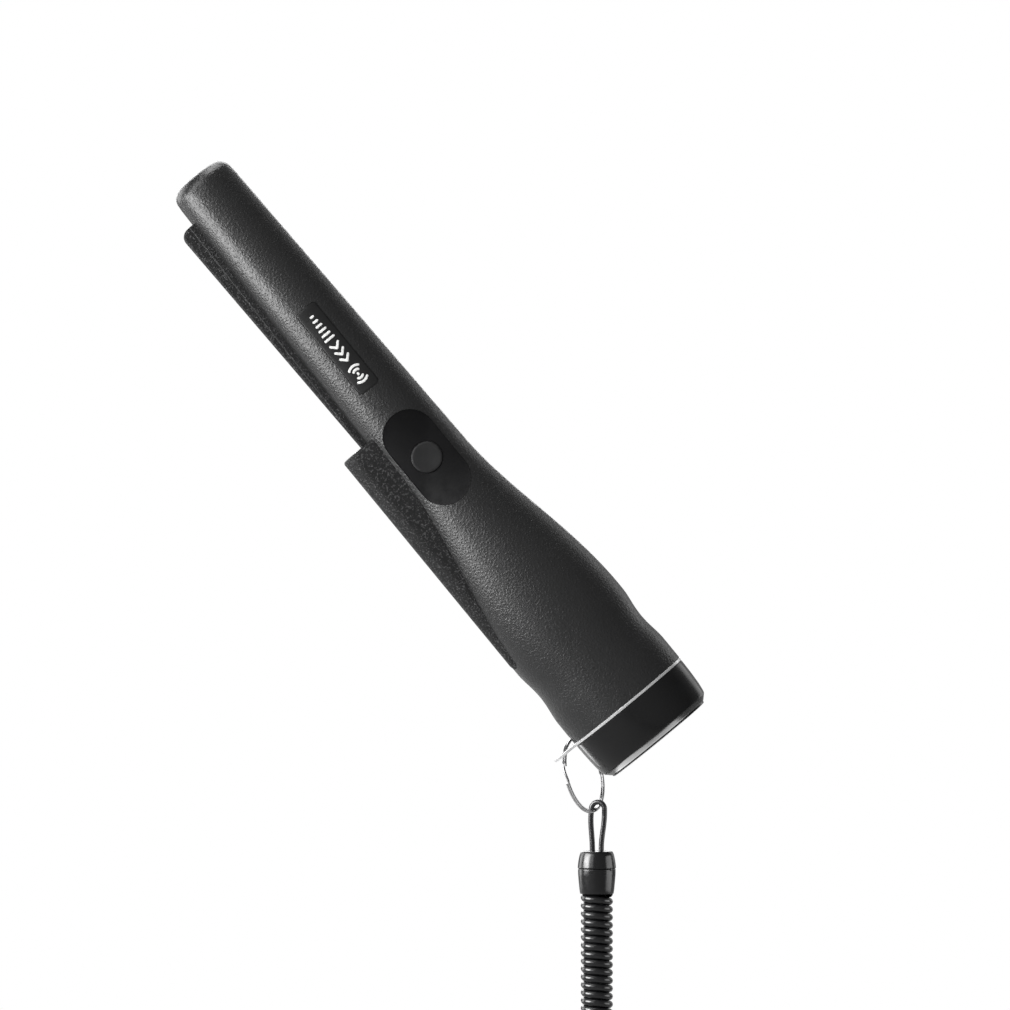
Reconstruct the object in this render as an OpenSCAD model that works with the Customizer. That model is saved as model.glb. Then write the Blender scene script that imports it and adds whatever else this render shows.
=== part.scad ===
/* [Hold] */
// Angle between the probe's axis and true up, with the tip leaning to -X
hold_tilt = 39.4; // [35:0.2:44]
// Distance from the tip to the middle of the hand's hold
hold_from_tip = 160; // [150:1:170]

/* [Probe body] */
// Distance from the tip to the tail of the moulded body
body_len = 214; // [212:1:218]
// Radius of the search tube at its tip
tip_r = 10.4; // [10.2:0.1:10.8]
// Radius of the search tube where the grip begins
neck_r = 13.3; // [13:0.1:13.6]
// Distance from the tip to the place where the neck radius is measured
neck_from_tip = 125; // [120:1:130]
// Radius that rounds the tip's rim
tip_round = 3.6; // [3:0.1:4]
// Half the width of the grip at the tail
tail_half_w = 21.4; // [20.8:0.1:21.6]
// Half the depth of the grip at the tail
tail_half_d = 18.5; // [18:0.1:19]
// Distance from the tip to the start of the flare
flare_start = 118; // [116:1:120]
// Distance from the tip to the end of the flare
flare_end = 184; // [180:1:188]
// Depth of the waist in front of the tail
waist = 0.9; // [0:0.1:1.2]
// Wall thickness of the body
wall = 2; // [1.8:0.1:2.2]

/* [Scraper rail] */
// Distance from the tip to the start of the scraper rib
rib_start = 11.7; // [11:0.1:13]
// Distance from the axis to the rib's outer edge at the tip end
rib_reach_tip = 16; // [15.5:0.1:16.5]
// Distance from the axis to the rib's outer edge at the pad
rib_reach_pad = 14.3; // [14:0.1:15]
// Thickness of the scraper rib
rib_w = 7; // [6:0.5:8]
// Distance from the tip to the pad's front face
pad_start = 99.6; // [98:0.2:101]
// Distance from the axis to the pad's outer face
pad_reach = 21.6; // [21.4:0.1:22]
// Width of the pad across its outer face
pad_w = 17; // [15:0.5:18]

/* [Label, button and lamp] */
// Length of the label panel
label_len = 32.7; // [30:0.1:34]
// Width of the label panel
label_w = 7.7; // [7:0.1:9]
// Distance from the tip to the middle of the label panel
label_from_tip = 70.8; // [68:0.2:73]
// Distance from the tip to the middle of the power button
button_from_tip = 115; // [114:0.5:116]
// Radius of the power button
button_r = 5; // [4.6:0.1:5.2]
// Travel of the power button
button_travel = 0.8; // [0.3:0.1:0.8]
// Running clearance round the button and other sliding pieces
running_gap = 0.08; // [0.05:0.01:0.1]
// Half the length of the thumb dish
dish_half_len = 17; // [16:0.5:17]
// Half the width of the thumb dish
dish_half_w = 8.6; // [8.4:0.1:8.8]
// Distance from the axis to the middle of the lamp
lamp_reach = 16.4; // [16:0.1:17]
// Radius of the lamp's window
lamp_r = 2.6; // [2.2:0.1:2.8]

/* [Battery cap and plate] */
// Length of the cap behind the lanyard plate
cap_len = 15; // [14:0.5:16]
// Length of the cap's spigot inside the body
spigot_len = 8.5; // [7:0.5:9]
// Thickness of the steel lanyard plate
plate_t = 0.9; // [0.8:0.1:1]
// Distance from the axis to the end of the plate's tab
tab_reach = 29.7; // [29:0.1:30.5]
// Width of the plate's tab
tab_w = 11; // [9:0.5:12]
// Radius of the hole for the split ring
tab_hole_r = 2.8; // [2.7:0.05:2.9]

/* [Split ring] */
// Outer diameter of the split ring
ring_od = 25; // [24:0.5:26]
// Thickness of the ring measured outward
ring_t = 1; // [0.9:0.1:1.1]
// Width of the ring's two turns side by side
ring_w = 1.2; // [1:0.1:1.2]
// Angle of the ring's long axis from true down, towards +X
ring_lean = 14.6; // [12:0.2:17]
// Angle by which the ring's plane is turned away from the XZ plane
ring_turn = 62.6; // [58:0.2:66]
// Place on the ring, from its low end, that passes the tab's hole
ring_entry = 227; // [222:1:232]
// Place on the ring, from its low end, that carries the strap
strap_at = 13.5; // [8:0.5:18]

/* [Coiled lanyard] */
// Diameter of the strap's cord
strap_d = 1.4; // [1.2:0.1:1.5]
// Length of each strap loop below or above its bend
strap_drop = 13.4; // [12:0.1:15]
// Length of each end fitting
fitting_len = 13.5; // [12:0.1:15]
// Greatest diameter of an end fitting
fitting_d = 12.1; // [11.5:0.1:13]
// Outer diameter of the curly cord
coil_d = 10.2; // [9:0.1:10.4]
// Number of turns in the curly cord
coil_turns = 38; // [36:1:40]
// Rise of one turn of the curly cord
coil_pitch = 2.5; // [2.4:0.1:2.6]

/* [Clasp] */
// Mean radius of the swivel's eye
eye_r = 3.2; // [3:0.1:3.6]
// Mean radius of the hook's bow
hook_r = 6.4; // [6:0.1:7]
// Thickness of the hook's bow
hook_t = 3.2; // [2.8:0.1:3.4]

/* [Hidden] */

$fn = 64;
oval_sides = 48;
loft_step = 6;
eps = 0.02;
seat_gap = 0.05;

// Body
waist_from_tip = 196;
waist_reach = 10;
grip_step = 0.1;
mouth_half_w = tail_half_w - 2.2;
mouth_half_d = tail_half_d - 2.2;
mouth_start = body_len - 10.5;
post_x = 12.6;
post_r = 2.6;
post_start = 142;
bulkhead_start = 150;
bulkhead_t = 2;
screw_core_r = 0.9;
sound_hole_r = 0.9;
sound_hole_pitch = 4;
speaker_from_tip = 138;
beyond = 30;

// Label, button, lamp
label_depth = 0.5;
label_proud = 0.1;
dish_floor_y = -8.2;
scoop_r = 40;
scoop_depth = 2.7;
button_top_y = -10.6;
flange_t = 0.8;
stem_r = 1.6;
plunger_r = 1.7;
plunger_top_y = -4;
switch_top_y = -2.5;
switch_side = 6;
lens_t = 1.6;
led_r = 1.5;
led_len = 7;
led_pocket_r = 2;

// Board and what it carries
board_top_y = 1;
board_t = 1.6;
board_w = 17;
board_start = 58;
board_end = 150;
chassis_t = 1.6;
chassis_w = 15;
chassis_start = 56;
chassis_rail_w = 1.2;
chassis_rail_h = 1.6;
screw_places = [[-6, 64], [6, 64], [-6, 146], [6, 146]];
board_screw_head_r = 1.6;
board_screw_r = 0.8;
lead_x = 3.6;
lead_y = 0.4;
lead_r = 0.55;

// Search coil
rod_r = 4;
former_r = 5.2;
winding_r = 7;
former_flange_r = 8;
former_start = 8;
former_len = 42;
former_stops = [0, 13, 28, 41];
former_flange_t = 1;

// Buzzer motor and speaker
motor_y = 7.2;
motor_r = 2.9;
motor_start = 104;
motor_len = 12;
shaft_r = 0.5;
shaft_start = 97;
weight_r = 2.5;
weight_start = 97.6;
weight_len = 5;
speaker_r = 9;
speaker_top_y = 8.4;
speaker_t = 3.2;
speaker_gasket_t = 0.7;

// Battery
battery_w = 26.5;
battery_d = 17.5;
battery_len = 48.5;
battery_start = 160.5;
battery_edge = 1.2;
terminal_len = 3;
terminal_x = 6.35;
terminal_r = 2.8;
snap_len = 4.8;
snap_d = 13;

// Cap and plate
plate_mid = body_len + plate_t / 2;
cap_start = body_len + plate_t;
cap_end = cap_start + cap_len;
cap_wall = 2;
cap_floor = 2.5;
cap_half_w = tail_half_w - 0.1;
cap_half_d = tail_half_d - 0.1;
spigot_start = body_len - spigot_len;
groove_start = spigot_start + 3.4;
groove_len = 1.8;
groove_depth = 1.2;
pedestal_r = 6.5;
cushion_end = battery_start + battery_len + 5;
cap_profile = [[0, 0], [11.4, 0.35], [13.2, 0.9], [14.3, 1.9], [15, 3.4]];

// Ring and lanyard, in the held frame
ring_mid_r = (ring_od - ring_t) / 2;
wire_x = 25.6;
tab_hole_x = 25.9;
hole_point = held_point(-wire_x, 0, plate_mid);
ring_centre = hole_point - ring_mid_r * ring_dir(ring_entry);
strap_point = ring_centre + ring_mid_r * ring_dir(strap_at);
strap_turn = -23.5;
strap_bend_r = 1.85;
fitting_top_z = strap_point[2] - strap_drop;
fitting_seam = 5.5;
fitting_end_d = 10.7;
coil_top_z = fitting_top_z - fitting_len;
coil_len = coil_turns * coil_pitch;
coil_bottom_z = coil_top_z - coil_len;
low_fitting_z = coil_bottom_z - fitting_len;
low_bend_z = low_fitting_z - strap_drop;

// Clasp, measured down from the centre of the swivel's eye
eye_wire_r = 0.8;
eye_z = low_bend_z - eye_r;
post_top = eye_r + eye_wire_r / 2;
swivel_post_r = 1.25;
swivel_post_end = 8.4;
swivel_head_r = 2;
swivel_head_t = 1;
barrel_r = 3.6;
barrel_top = 5.2;
barrel_end = 12.4;
swivel_gap = 0.1;
chamber_top = swivel_post_end - swivel_gap;
chamber_r = 2.1;
chamber_len = 1.2;
hook_z = -19;
hook_from = -180;
hook_sweep = 262;
gate_pivot = [-2.2, -12.4];
gate_reach = 7.6;
gate_r = 0.9;
gate_knuckle_r = 1.8;
gate_half_w = 0.9;
gate_spring_w = 0.6;
gate_spring_r = 1;
gate_angle = 10.5;
pin_r = 0.6;
ear_r = 2;
ear_t = 1;
ear_gap = gate_half_w + 0.1;

// Rounded step from 0 to 1
function smooth(t) = let (c = max(0, min(1, t))) c * c * (3 - 2 * c);

// Soft hump of height 1 between -1 and 1
function hump(t) = abs(t) < 1 ? pow(1 - t * t, 2) : 0;

// Radius of the search tube at a distance from the tip
function tube_r(s) = tip_r + (neck_r - tip_r) * s / neck_from_tip;

// How far the flare has opened at a distance from the tip
function flare(s) = smooth((s - flare_start) / (flare_end - flare_start));

// Half the width and half the depth of the body at a distance from the tip
function half_w(s) = tube_r(s) + (tail_half_w - tube_r(s)) * flare(s)
    - waist * hump((s - waist_from_tip) / waist_reach);
function half_d(s) = tube_r(s) + (tail_half_d - tube_r(s)) * flare(s);

// Height above the hold for a distance from the tip
function up(s) = hold_from_tip - s;

// A point of the upright probe, turned into the held frame
function held_point(x, y, s) = [x * cos(hold_tilt) - up(s) * sin(hold_tilt), y,
    x * sin(hold_tilt) + up(s) * cos(hold_tilt)];

// Direction from the ring's centre to a place on it, counted from its low end
function ring_dir(a) = [
    sin(a) * cos(ring_turn) * cos(ring_lean) + cos(a) * sin(ring_lean),
    sin(a) * sin(ring_turn),
    sin(a) * cos(ring_turn) * sin(ring_lean) - cos(a) * cos(ring_lean)];

// Oval outline of a given half width and half depth
function oval(w, d) = [for (i = [0 : oval_sides - 1])
    [w * cos(360 * i / oval_sides), d * sin(360 * i / oval_sides)]];

// Turns the upright probe to the angle at which it is held
module held() {
    rotate([0, -hold_tilt, 0]) children();
}

// Skin through ovals given as [distance from the tip, half width, half depth]
module loft(stations) {
    n = oval_sides;
    last = len(stations) - 1;
    points = [for (st = stations) for (p = oval(st[1], st[2])) [p[0], p[1], up(st[0])]];
    sides = [for (k = [0 : last - 1]) for (i = [0 : n - 1])
        [k * n + i, k * n + (i + 1) % n, (k + 1) * n + (i + 1) % n, (k + 1) * n + i]];
    polyhedron(points, concat([[for (i = [n - 1 : -1 : 0]) i]], sides,
        [[for (i = [0 : n - 1]) last * n + i]]), convexity = 4);
}

// The grip from the end of the tube to the tail, shrunk by an inset
module grip_solid(inset, from, to) {
    loft([for (s = [from : loft_step : to]) [s, half_w(s) - inset, half_d(s) - inset]]);
}

// Straight oval plug between two distances from the tip
module oval_plug(w, d, from, to) {
    translate([0, 0, up(to)]) linear_extrude(to - from) polygon(oval(w, d));
}

// Round search tube with its domed tip, shrunk by an inset
module tube_solid(inset, round_r) {
    r = tip_r - inset;
    rotate_extrude() polygon(concat(
        [[0, up(flare_start)], [tube_r(flare_start) - inset, up(flare_start)]],
        [for (a = [0 : 10 : 90]) [r - round_r + round_r * cos(a),
            up(inset + round_r) + round_r * sin(a)]],
        [[0, up(inset)]]));
}

module body_outer() {
    tube_solid(0, tip_round);
    grip_solid(grip_step, flare_start, body_len);
}

// Flat bar with round ends, standing out of the front face
module front_stadium(half_len, half_width, y_in, y_out, s) {
    translate([0, y_in, up(s)]) rotate([90, 0, 0]) linear_extrude(y_in - y_out) {
        square([2 * half_width, 2 * (half_len - half_width)], center = true);
        for (end = [-1, 1])
            translate([0, end * (half_len - half_width)]) circle(half_width);
    }
}

// Cylinder along the probe between two distances from the tip
module rod(r, from, to, x = 0, y = 0) {
    translate([x, y, up(to)]) cylinder(r = r, h = to - from);
}

// Cylinder that runs front to back
module cross_rod(r, y_in, y_out, x, s) {
    translate([x, y_in, up(s)]) rotate([90, 0, 0]) cylinder(r = r, h = y_in - y_out);
}

// Box between two distances from the tip
module block(half_width, y_low, y_high, from, to, x = 0) {
    translate([x - half_width, y_low, up(to)]) cube([2 * half_width, y_high - y_low, to - from]);
}

module label_outline() {
    corner = 1;
    translate([0, 0, up(label_from_tip)]) rotate([90, 0, 0]) linear_extrude(beyond) {
        square([label_w - 2 * corner, label_len], center = true);
        square([label_w, label_len - 2 * corner], center = true);
        for (sx = [-1, 1], sz = [-1, 1])
            translate([sx * (label_w / 2 - corner), sz * (label_len / 2 - corner)])
                circle(corner);
    }
}

module body_shell() {
    color("#222325") held() difference() {
        body_outer();
        difference() {
            union() {
                tube_solid(wall, tip_round - 1);
                grip_solid(grip_step + wall, flare_start, body_len);
            }
            for (side = [-1, 1])
                rod(post_r, post_start, bulkhead_start, side * post_x);
        }
        oval_plug(mouth_half_w, mouth_half_d, mouth_start, body_len + eps);
        for (side = [-1, 1])
            rod(screw_core_r, post_start + 2, bulkhead_start + eps, side * post_x);
        difference() {
            label_outline();
            tube_solid(label_depth, tip_round);
        }
        front_stadium(dish_half_len, dish_half_w, dish_floor_y, -beyond, button_from_tip);
        for (place = [[0, 0], [1, 0], [-1, 0], [0, 1], [0, -1]])
            cross_rod(sound_hole_r, beyond, speaker_top_y, place[0] * sound_hole_pitch,
                speaker_from_tip + place[1] * sound_hole_pitch);
    }
}

// Outline of the rib seen from the front, with a rounded nose
module rib_outline() {
    nose = 3;
    polygon(concat(
        [[-6, up(pad_start)], [-6, up(rib_start)]],
        [for (a = [90 : 15 : 180]) [-rib_reach_tip + nose + nose * cos(a),
            up(rib_start + nose) + nose * sin(a)]],
        [[-rib_reach_pad, up(pad_start)]]));
}

module scraper_rail() {
    round_r = 5;
    color("#2a2a2c") held() difference() {
        union() {
            translate([0, rib_w / 2, 0]) rotate([90, 0, 0]) linear_extrude(rib_w) rib_outline();
            translate([0, 0, up(flare_end)]) linear_extrude(flare_end - pad_start) {
                translate([-pad_reach, round_r - pad_w / 2])
                    square([pad_reach, pad_w - 2 * round_r]);
                translate([round_r - pad_reach, -pad_w / 2])
                    square([pad_reach - round_r, pad_w]);
                for (side = [-1, 1])
                    translate([round_r - pad_reach, side * (pad_w / 2 - round_r)])
                        circle(round_r);
            }
        }
        body_outer();
        rod(lamp_r + seat_gap, pad_start - eps, pad_start + lens_t, -lamp_reach);
        rod(led_pocket_r, pad_start, pad_start + led_len + 4, -lamp_reach);
    }
}

module label_panel() {
    color("#1b1b1d") held() intersection() {
        label_outline();
        difference() {
            tube_solid(-label_proud, tip_round);
            tube_solid(label_depth, tip_round);
        }
    }
}

module thumb_bezel() {
    scoop_y = scoop_depth - tube_r(button_from_tip) - scoop_r;
    color("#18181a") held() difference() {
        intersection() {
            front_stadium(dish_half_len - seat_gap, dish_half_w - seat_gap, dish_floor_y,
                -beyond, button_from_tip);
            body_outer();
        }
        translate([0, scoop_y, up(button_from_tip)]) sphere(scoop_r);
        cross_rod(button_r + running_gap, 0, -beyond, 0, button_from_tip);
    }
}

module power_button() {
    flange_y = dish_floor_y + running_gap;
    color("#303033") held() {
        cross_rod(button_r, flange_y, button_top_y, 0, button_from_tip);
        cross_rod(button_r + 0.8, flange_y + flange_t, flange_y, 0, button_from_tip);
        cross_rod(stem_r, plunger_top_y - seat_gap, flange_y, 0, button_from_tip);
    }
}

module switch_plunger() {
    color("#c9c4b4") held()
        cross_rod(plunger_r, switch_top_y + 1.1, plunger_top_y, 0, button_from_tip);
}

module tact_switch() {
    color("#111111") held() difference() {
        block(switch_side / 2, switch_top_y, board_top_y, button_from_tip - switch_side / 2,
            button_from_tip + switch_side / 2);
        cross_rod(plunger_r + running_gap, board_top_y - 1, switch_top_y - eps, 0,
            button_from_tip);
    }
}

module led_lens() {
    color("#dfe6ea") held() rod(lamp_r, pad_start + 0.4, pad_start + lens_t, -lamp_reach);
}

module led() {
    start = pad_start + lens_t + 0.2;
    color("#f4f4ee") held() {
        translate([-lamp_reach, 0, up(start + led_r)]) sphere(led_r);
        rod(led_r, start + led_r, start + led_len, -lamp_reach);
        rod(led_pocket_r - 0.1, start + led_len - 1, start + led_len, -lamp_reach);
    }
}

module main_pcb() {
    color("#1d5a35") held() difference() {
        block(board_w / 2, board_top_y, board_top_y + board_t, board_start, board_end);
        for (place = screw_places)
            cross_rod(board_screw_r + 0.1, board_top_y + board_t + 1, 0, place[0], place[1]);
    }
}

// Parts soldered on the front of the board: [half width, height, from, to, x]
module pcb_components() {
    color("#202020") held()
        for (c = [[3.5, 1.6, 70, 80, -2], [2.5, 1.4, 84, 90, 3.5], [1.2, 1, 84, 87, -5],
                [1.2, 1, 89, 92, -5], [1.8, 4, 94, 98, 4.5], [2, 3.2, 95, 99, -4.5],
                [3, 1.5, 126, 133, 0], [1.5, 1.2, 137, 139, 5], [1.5, 1.2, 141, 143, -5]])
            block(c[0], board_top_y - c[1], board_top_y, c[2], c[3], c[4]);
}

module chassis() {
    y0 = board_top_y + board_t;
    color("#3a3d42") held() difference() {
        union() {
            block(chassis_w / 2, y0, y0 + chassis_t, chassis_start, bulkhead_start);
            oval_plug(half_w(bulkhead_start) - wall - 0.4, half_d(bulkhead_start) - wall - 0.4,
                bulkhead_start, bulkhead_start + bulkhead_t);
            for (side = [-1, 1])
                block(chassis_rail_w / 2, y0 + chassis_t, y0 + chassis_t + chassis_rail_h,
                    chassis_start, 96, side * (chassis_w / 2 - 3));
        }
        for (side = [-1, 1]) {
            rod(screw_core_r + 0.2, bulkhead_start - eps, bulkhead_start + bulkhead_t + eps,
                side * post_x);
            rod(1, bulkhead_start - eps, bulkhead_start + bulkhead_t + eps, side * lead_x,
                lead_y);
        }
        for (place = screw_places)
            cross_rod(board_screw_r, y0 + chassis_t + eps, y0 - eps, place[0], place[1]);
    }
}

module board_screws() {
    color("#b9bcc0") held() for (place = screw_places) {
        cross_rod(board_screw_r, board_top_y + board_t + chassis_t, board_top_y, place[0],
            place[1]);
        cross_rod(board_screw_head_r, board_top_y, board_top_y - 0.9, place[0], place[1]);
    }
}

module bulkhead_screws() {
    head_from = bulkhead_start + bulkhead_t;
    color("#b9bcc0") held() for (side = [-1, 1]) {
        rod(screw_core_r, post_start + 2.5, head_from, side * post_x);
        rod(1.8, head_from, head_from + 1.3, side * post_x);
    }
}

module tip_cushion() {
    color("#6b6b66") held() rod(7, wall + 0.4, former_start);
}

module ferrite_rod() {
    color("#3b3836") held() rod(rod_r, former_start, former_start + former_len + 6);
}

module coil_former() {
    color("#d8d2c0") held() difference() {
        union() {
            rod(former_r, former_start, former_start + former_len);
            for (stop = former_stops)
                rod(former_flange_r, former_start + stop,
                    former_start + stop + former_flange_t);
        }
        rod(rod_r, former_start - eps, former_start + former_len + eps);
    }
}

// Copper between two of the former's flanges
module winding(gap) {
    difference() {
        rod(winding_r, former_start + former_stops[gap] + former_flange_t,
            former_start + former_stops[gap + 1]);
        rod(former_r, former_start, former_start + former_len);
    }
}

module transmit_winding() {
    color("#b5662b") held() winding(1);
}

module receive_windings() {
    color("#c47a3a") held() for (gap = [0, 2]) winding(gap);
}

module vibration_motor() {
    color("#c0c2c4") held() difference() {
        union() {
            rod(motor_r, motor_start, motor_start + motor_len, 0, motor_y);
            rod(1.2, motor_start - 0.8, motor_start, 0, motor_y);
        }
        rod(shaft_r + 0.05, motor_start - 1, motor_start + 4, 0, motor_y);
    }
}

module motor_shaft() {
    color("#d4d6d8") held() rod(shaft_r, shaft_start, motor_start + 3.5, 0, motor_y);
}

module motor_weight() {
    color("#8d8f92") held() difference() {
        rod(weight_r, weight_start, weight_start + weight_len, 0, motor_y);
        block(weight_r, motor_y - weight_r - 1, motor_y + weight_r + 1, weight_start - 1,
            weight_start + weight_len + 1, weight_r + shaft_r + 0.4);
        rod(shaft_r, weight_start - 1, weight_start + weight_len + 1, 0, motor_y);
    }
}

module speaker() {
    color("#b8a25a") held() {
        cross_rod(speaker_r, speaker_top_y, speaker_top_y - 0.8, 0, speaker_from_tip);
        cross_rod(speaker_r - 2, speaker_top_y - 0.8, speaker_top_y - speaker_t, 0,
            speaker_from_tip);
    }
}

module speaker_gasket() {
    color("#4a4a4a") held() difference() {
        cross_rod(speaker_r - 0.3, speaker_top_y + speaker_gasket_t, speaker_top_y, 0,
            speaker_from_tip);
        cross_rod(speaker_r - 2, speaker_top_y + speaker_gasket_t + 1, 0, 0,
            speaker_from_tip);
    }
}

module battery() {
    w = battery_w / 2;
    d = battery_d / 2;
    e = battery_edge;
    color("#2e5aa8") held() translate([0, 0, up(battery_start + battery_len)])
        linear_extrude(battery_len) polygon([[e - w, -d], [w - e, -d], [w, e - d],
            [w, d - e], [w - e, d], [e - w, d], [-w, d - e], [-w, e - d]]);
}

module battery_terminals() {
    color("#d9dadc") held() for (side = [-1, 1])
        rod(terminal_r, battery_start - terminal_len, battery_start, side * terminal_x);
}

module battery_snap() {
    to = battery_start - 0.2;
    color("#151515") held() difference() {
        block(battery_w / 2 - 0.5, -snap_d / 2, snap_d / 2, to - snap_len, to);
        for (side = [-1, 1])
            rod(terminal_r + seat_gap, battery_start - terminal_len - 0.1, to + eps,
                side * terminal_x);
    }
}

// One lead from the snap, through the bulkhead, to the board
module lead(side) {
    rod(lead_r, board_end - 4, battery_start - 0.2 - snap_len, side * lead_x, lead_y);
}

module red_lead() {
    color("#b3201c") held() lead(1);
}

module black_lead() {
    color("#101010") held() lead(-1);
}

module battery_cushion() {
    color("#5c5c58") held()
        block(9, -6, 6, battery_start + battery_len + 0.2, cushion_end);
}

module cap_gasket() {
    color("#0d0d0d") held() difference() {
        oval_plug(mouth_half_w - running_gap, mouth_half_d - running_gap,
            groove_start + 0.1, groove_start + groove_len - 0.1);
        oval_plug(mouth_half_w - 0.15 - groove_depth, mouth_half_d - 0.15 - groove_depth,
            groove_start, groove_start + groove_len);
    }
}

module lanyard_plate() {
    color("#c9ccd0") held() difference() {
        union() {
            oval_plug(tail_half_w - 0.3, tail_half_d - 0.3, body_len, cap_start);
            block(tab_reach / 2 - tab_w / 4, -tab_w / 2, tab_w / 2, body_len, cap_start,
                tab_w / 4 - tab_reach / 2);
            rod(tab_w / 2, body_len, cap_start, tab_w / 2 - tab_reach);
        }
        oval_plug(mouth_half_w, mouth_half_d, body_len - eps, cap_start + eps);
        rod(tab_hole_r, body_len - eps, cap_start + eps, -tab_hole_x);
    }
}

module battery_cap() {
    color("#0f0f10") held() difference() {
        union() {
            loft([for (p = cap_profile) [cap_start + p[0], cap_half_w - p[1],
                cap_half_d - p[1]]]);
            oval_plug(mouth_half_w - 0.15, mouth_half_d - 0.15, spigot_start, cap_start);
        }
        difference() {
            oval_plug(mouth_half_w - 0.15 - cap_wall, mouth_half_d - 0.15 - cap_wall,
                spigot_start - eps, cap_end - cap_floor);
            rod(pedestal_r, cushion_end, cap_end);
        }
        difference() {
            oval_plug(mouth_half_w + 1, mouth_half_d + 1, groove_start,
                groove_start + groove_len);
            oval_plug(mouth_half_w - 0.15 - groove_depth, mouth_half_d - 0.15 - groove_depth,
                groove_start - eps, groove_start + groove_len + eps);
        }
    }
}

module split_ring() {
    color("#cfd2d6") translate(ring_centre) rotate([0, -ring_lean, 0])
        rotate([0, 0, ring_turn]) rotate([90, 0, 0]) rotate_extrude()
            translate([ring_mid_r - ring_t / 2, -ring_w / 2]) square([ring_t, ring_w]);
}

// Loop of strap cord hanging from its bend at the origin
module strap_loop() {
    rotate([0, 0, strap_turn]) {
        rotate([90, 0, 0]) rotate_extrude(angle = 180)
            translate([strap_bend_r, 0]) circle(d = strap_d);
        for (side = [-1, 1])
            translate([side * strap_bend_r, 0, -strap_drop])
                cylinder(d = strap_d, h = strap_drop);
    }
}

// Places something on the lanyard's hanging line at a given height
module on_lanyard(z) {
    translate([strap_point[0], strap_point[1], z]) children();
}

module strap_loop_top() {
    color("#161617") on_lanyard(strap_point[2]) strap_loop();
}

module fitting_top_dome() {
    color("#0c0c0d") on_lanyard(fitting_top_z - fitting_seam)
        cylinder(d1 = fitting_d, d2 = fitting_end_d, h = fitting_seam);
}

module fitting_top_sleeve() {
    color("#0c0c0d") on_lanyard(coil_top_z)
        cylinder(d1 = fitting_end_d, d2 = fitting_d - 0.2, h = fitting_len - fitting_seam);
}

module coil_cord() {
    color("#0a0a0b") on_lanyard(coil_bottom_z) cylinder(d = coil_d, h = coil_len);
}

module fitting_bottom_sleeve() {
    color("#0c0c0d") on_lanyard(low_fitting_z + fitting_seam)
        cylinder(d1 = fitting_d - 0.2, d2 = fitting_end_d, h = fitting_len - fitting_seam);
}

module fitting_bottom_dome() {
    color("#0c0c0d") on_lanyard(low_fitting_z)
        cylinder(d1 = fitting_end_d, d2 = fitting_d, h = fitting_seam);
}

module strap_loop_bottom() {
    color("#161617") on_lanyard(low_bend_z) mirror([0, 0, 1]) strap_loop();
}

// The clasp's own frame: eye at the origin, hook's plane across the strap's legs
module clasp_frame() {
    on_lanyard(eye_z) rotate([0, 0, strap_turn]) children();
}

module swivel_eye() {
    color("#c6c9cd") clasp_frame() {
        rotate([0, 90, 0]) rotate_extrude() translate([eye_r, 0]) circle(eye_wire_r);
        translate([0, 0, -swivel_post_end])
            cylinder(r = swivel_post_r, h = swivel_post_end - post_top);
        translate([0, 0, -swivel_post_end - swivel_head_t])
            cylinder(r = swivel_head_r, h = swivel_head_t);
    }
}

module clasp_body() {
    color("#c6c9cd") clasp_frame() difference() {
        union() {
            translate([0, 0, -barrel_end]) cylinder(r = barrel_r, h = barrel_end - barrel_top);
            translate([0, 0, hook_z]) rotate([90, 0, 0]) rotate([0, 0, hook_from])
                rotate_extrude(angle = hook_sweep) translate([hook_r, 0]) circle(d = hook_t);
            for (side = [-1, 1])
                translate([gate_pivot[0], side * (ear_gap + ear_t / 2), gate_pivot[1]])
                    rotate([90, 0, 0]) cylinder(r = ear_r, h = ear_t, center = true);
        }
        translate([0, 0, -chamber_top]) cylinder(r = swivel_post_r + swivel_gap, h = 6);
        translate([0, 0, -chamber_top - chamber_len]) cylinder(r = chamber_r, h = chamber_len);
        translate([gate_pivot[0], 0, gate_pivot[1]]) rotate([90, 0, 0]) {
            cylinder(r = pin_r, h = 10, center = true);
            cylinder(r = gate_knuckle_r + 0.3, h = 2 * ear_gap, center = true);
        }
    }
}

module clasp_gate() {
    color("#d2d5d8") clasp_frame() translate([gate_pivot[0], 0, gate_pivot[1]])
        difference() {
            union() {
                translate([0, gate_half_w - gate_spring_w, 0]) rotate([90, 0, 0])
                    cylinder(r = gate_knuckle_r, h = 2 * gate_half_w - gate_spring_w);
                rotate([0, gate_angle, 0]) translate([0, 0, -gate_reach])
                    cylinder(r = gate_r, h = gate_reach - gate_spring_r - 0.3);
            }
            rotate([90, 0, 0]) cylinder(r = pin_r + 0.05, h = 4, center = true);
        }
}

module gate_pin() {
    color("#a9acb0") clasp_frame() translate([gate_pivot[0], 0, gate_pivot[1]])
        rotate([90, 0, 0]) cylinder(r = pin_r, h = 2 * (ear_gap + ear_t), center = true);
}

module gate_spring() {
    color("#8f9296") clasp_frame()
        translate([gate_pivot[0], gate_half_w - 0.05, gate_pivot[1]]) rotate([90, 0, 0])
            difference() {
                cylinder(r = gate_spring_r, h = gate_spring_w - 0.1);
                translate([0, 0, -1]) cylinder(r = pin_r + 0.1, h = 3);
            }
}

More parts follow.
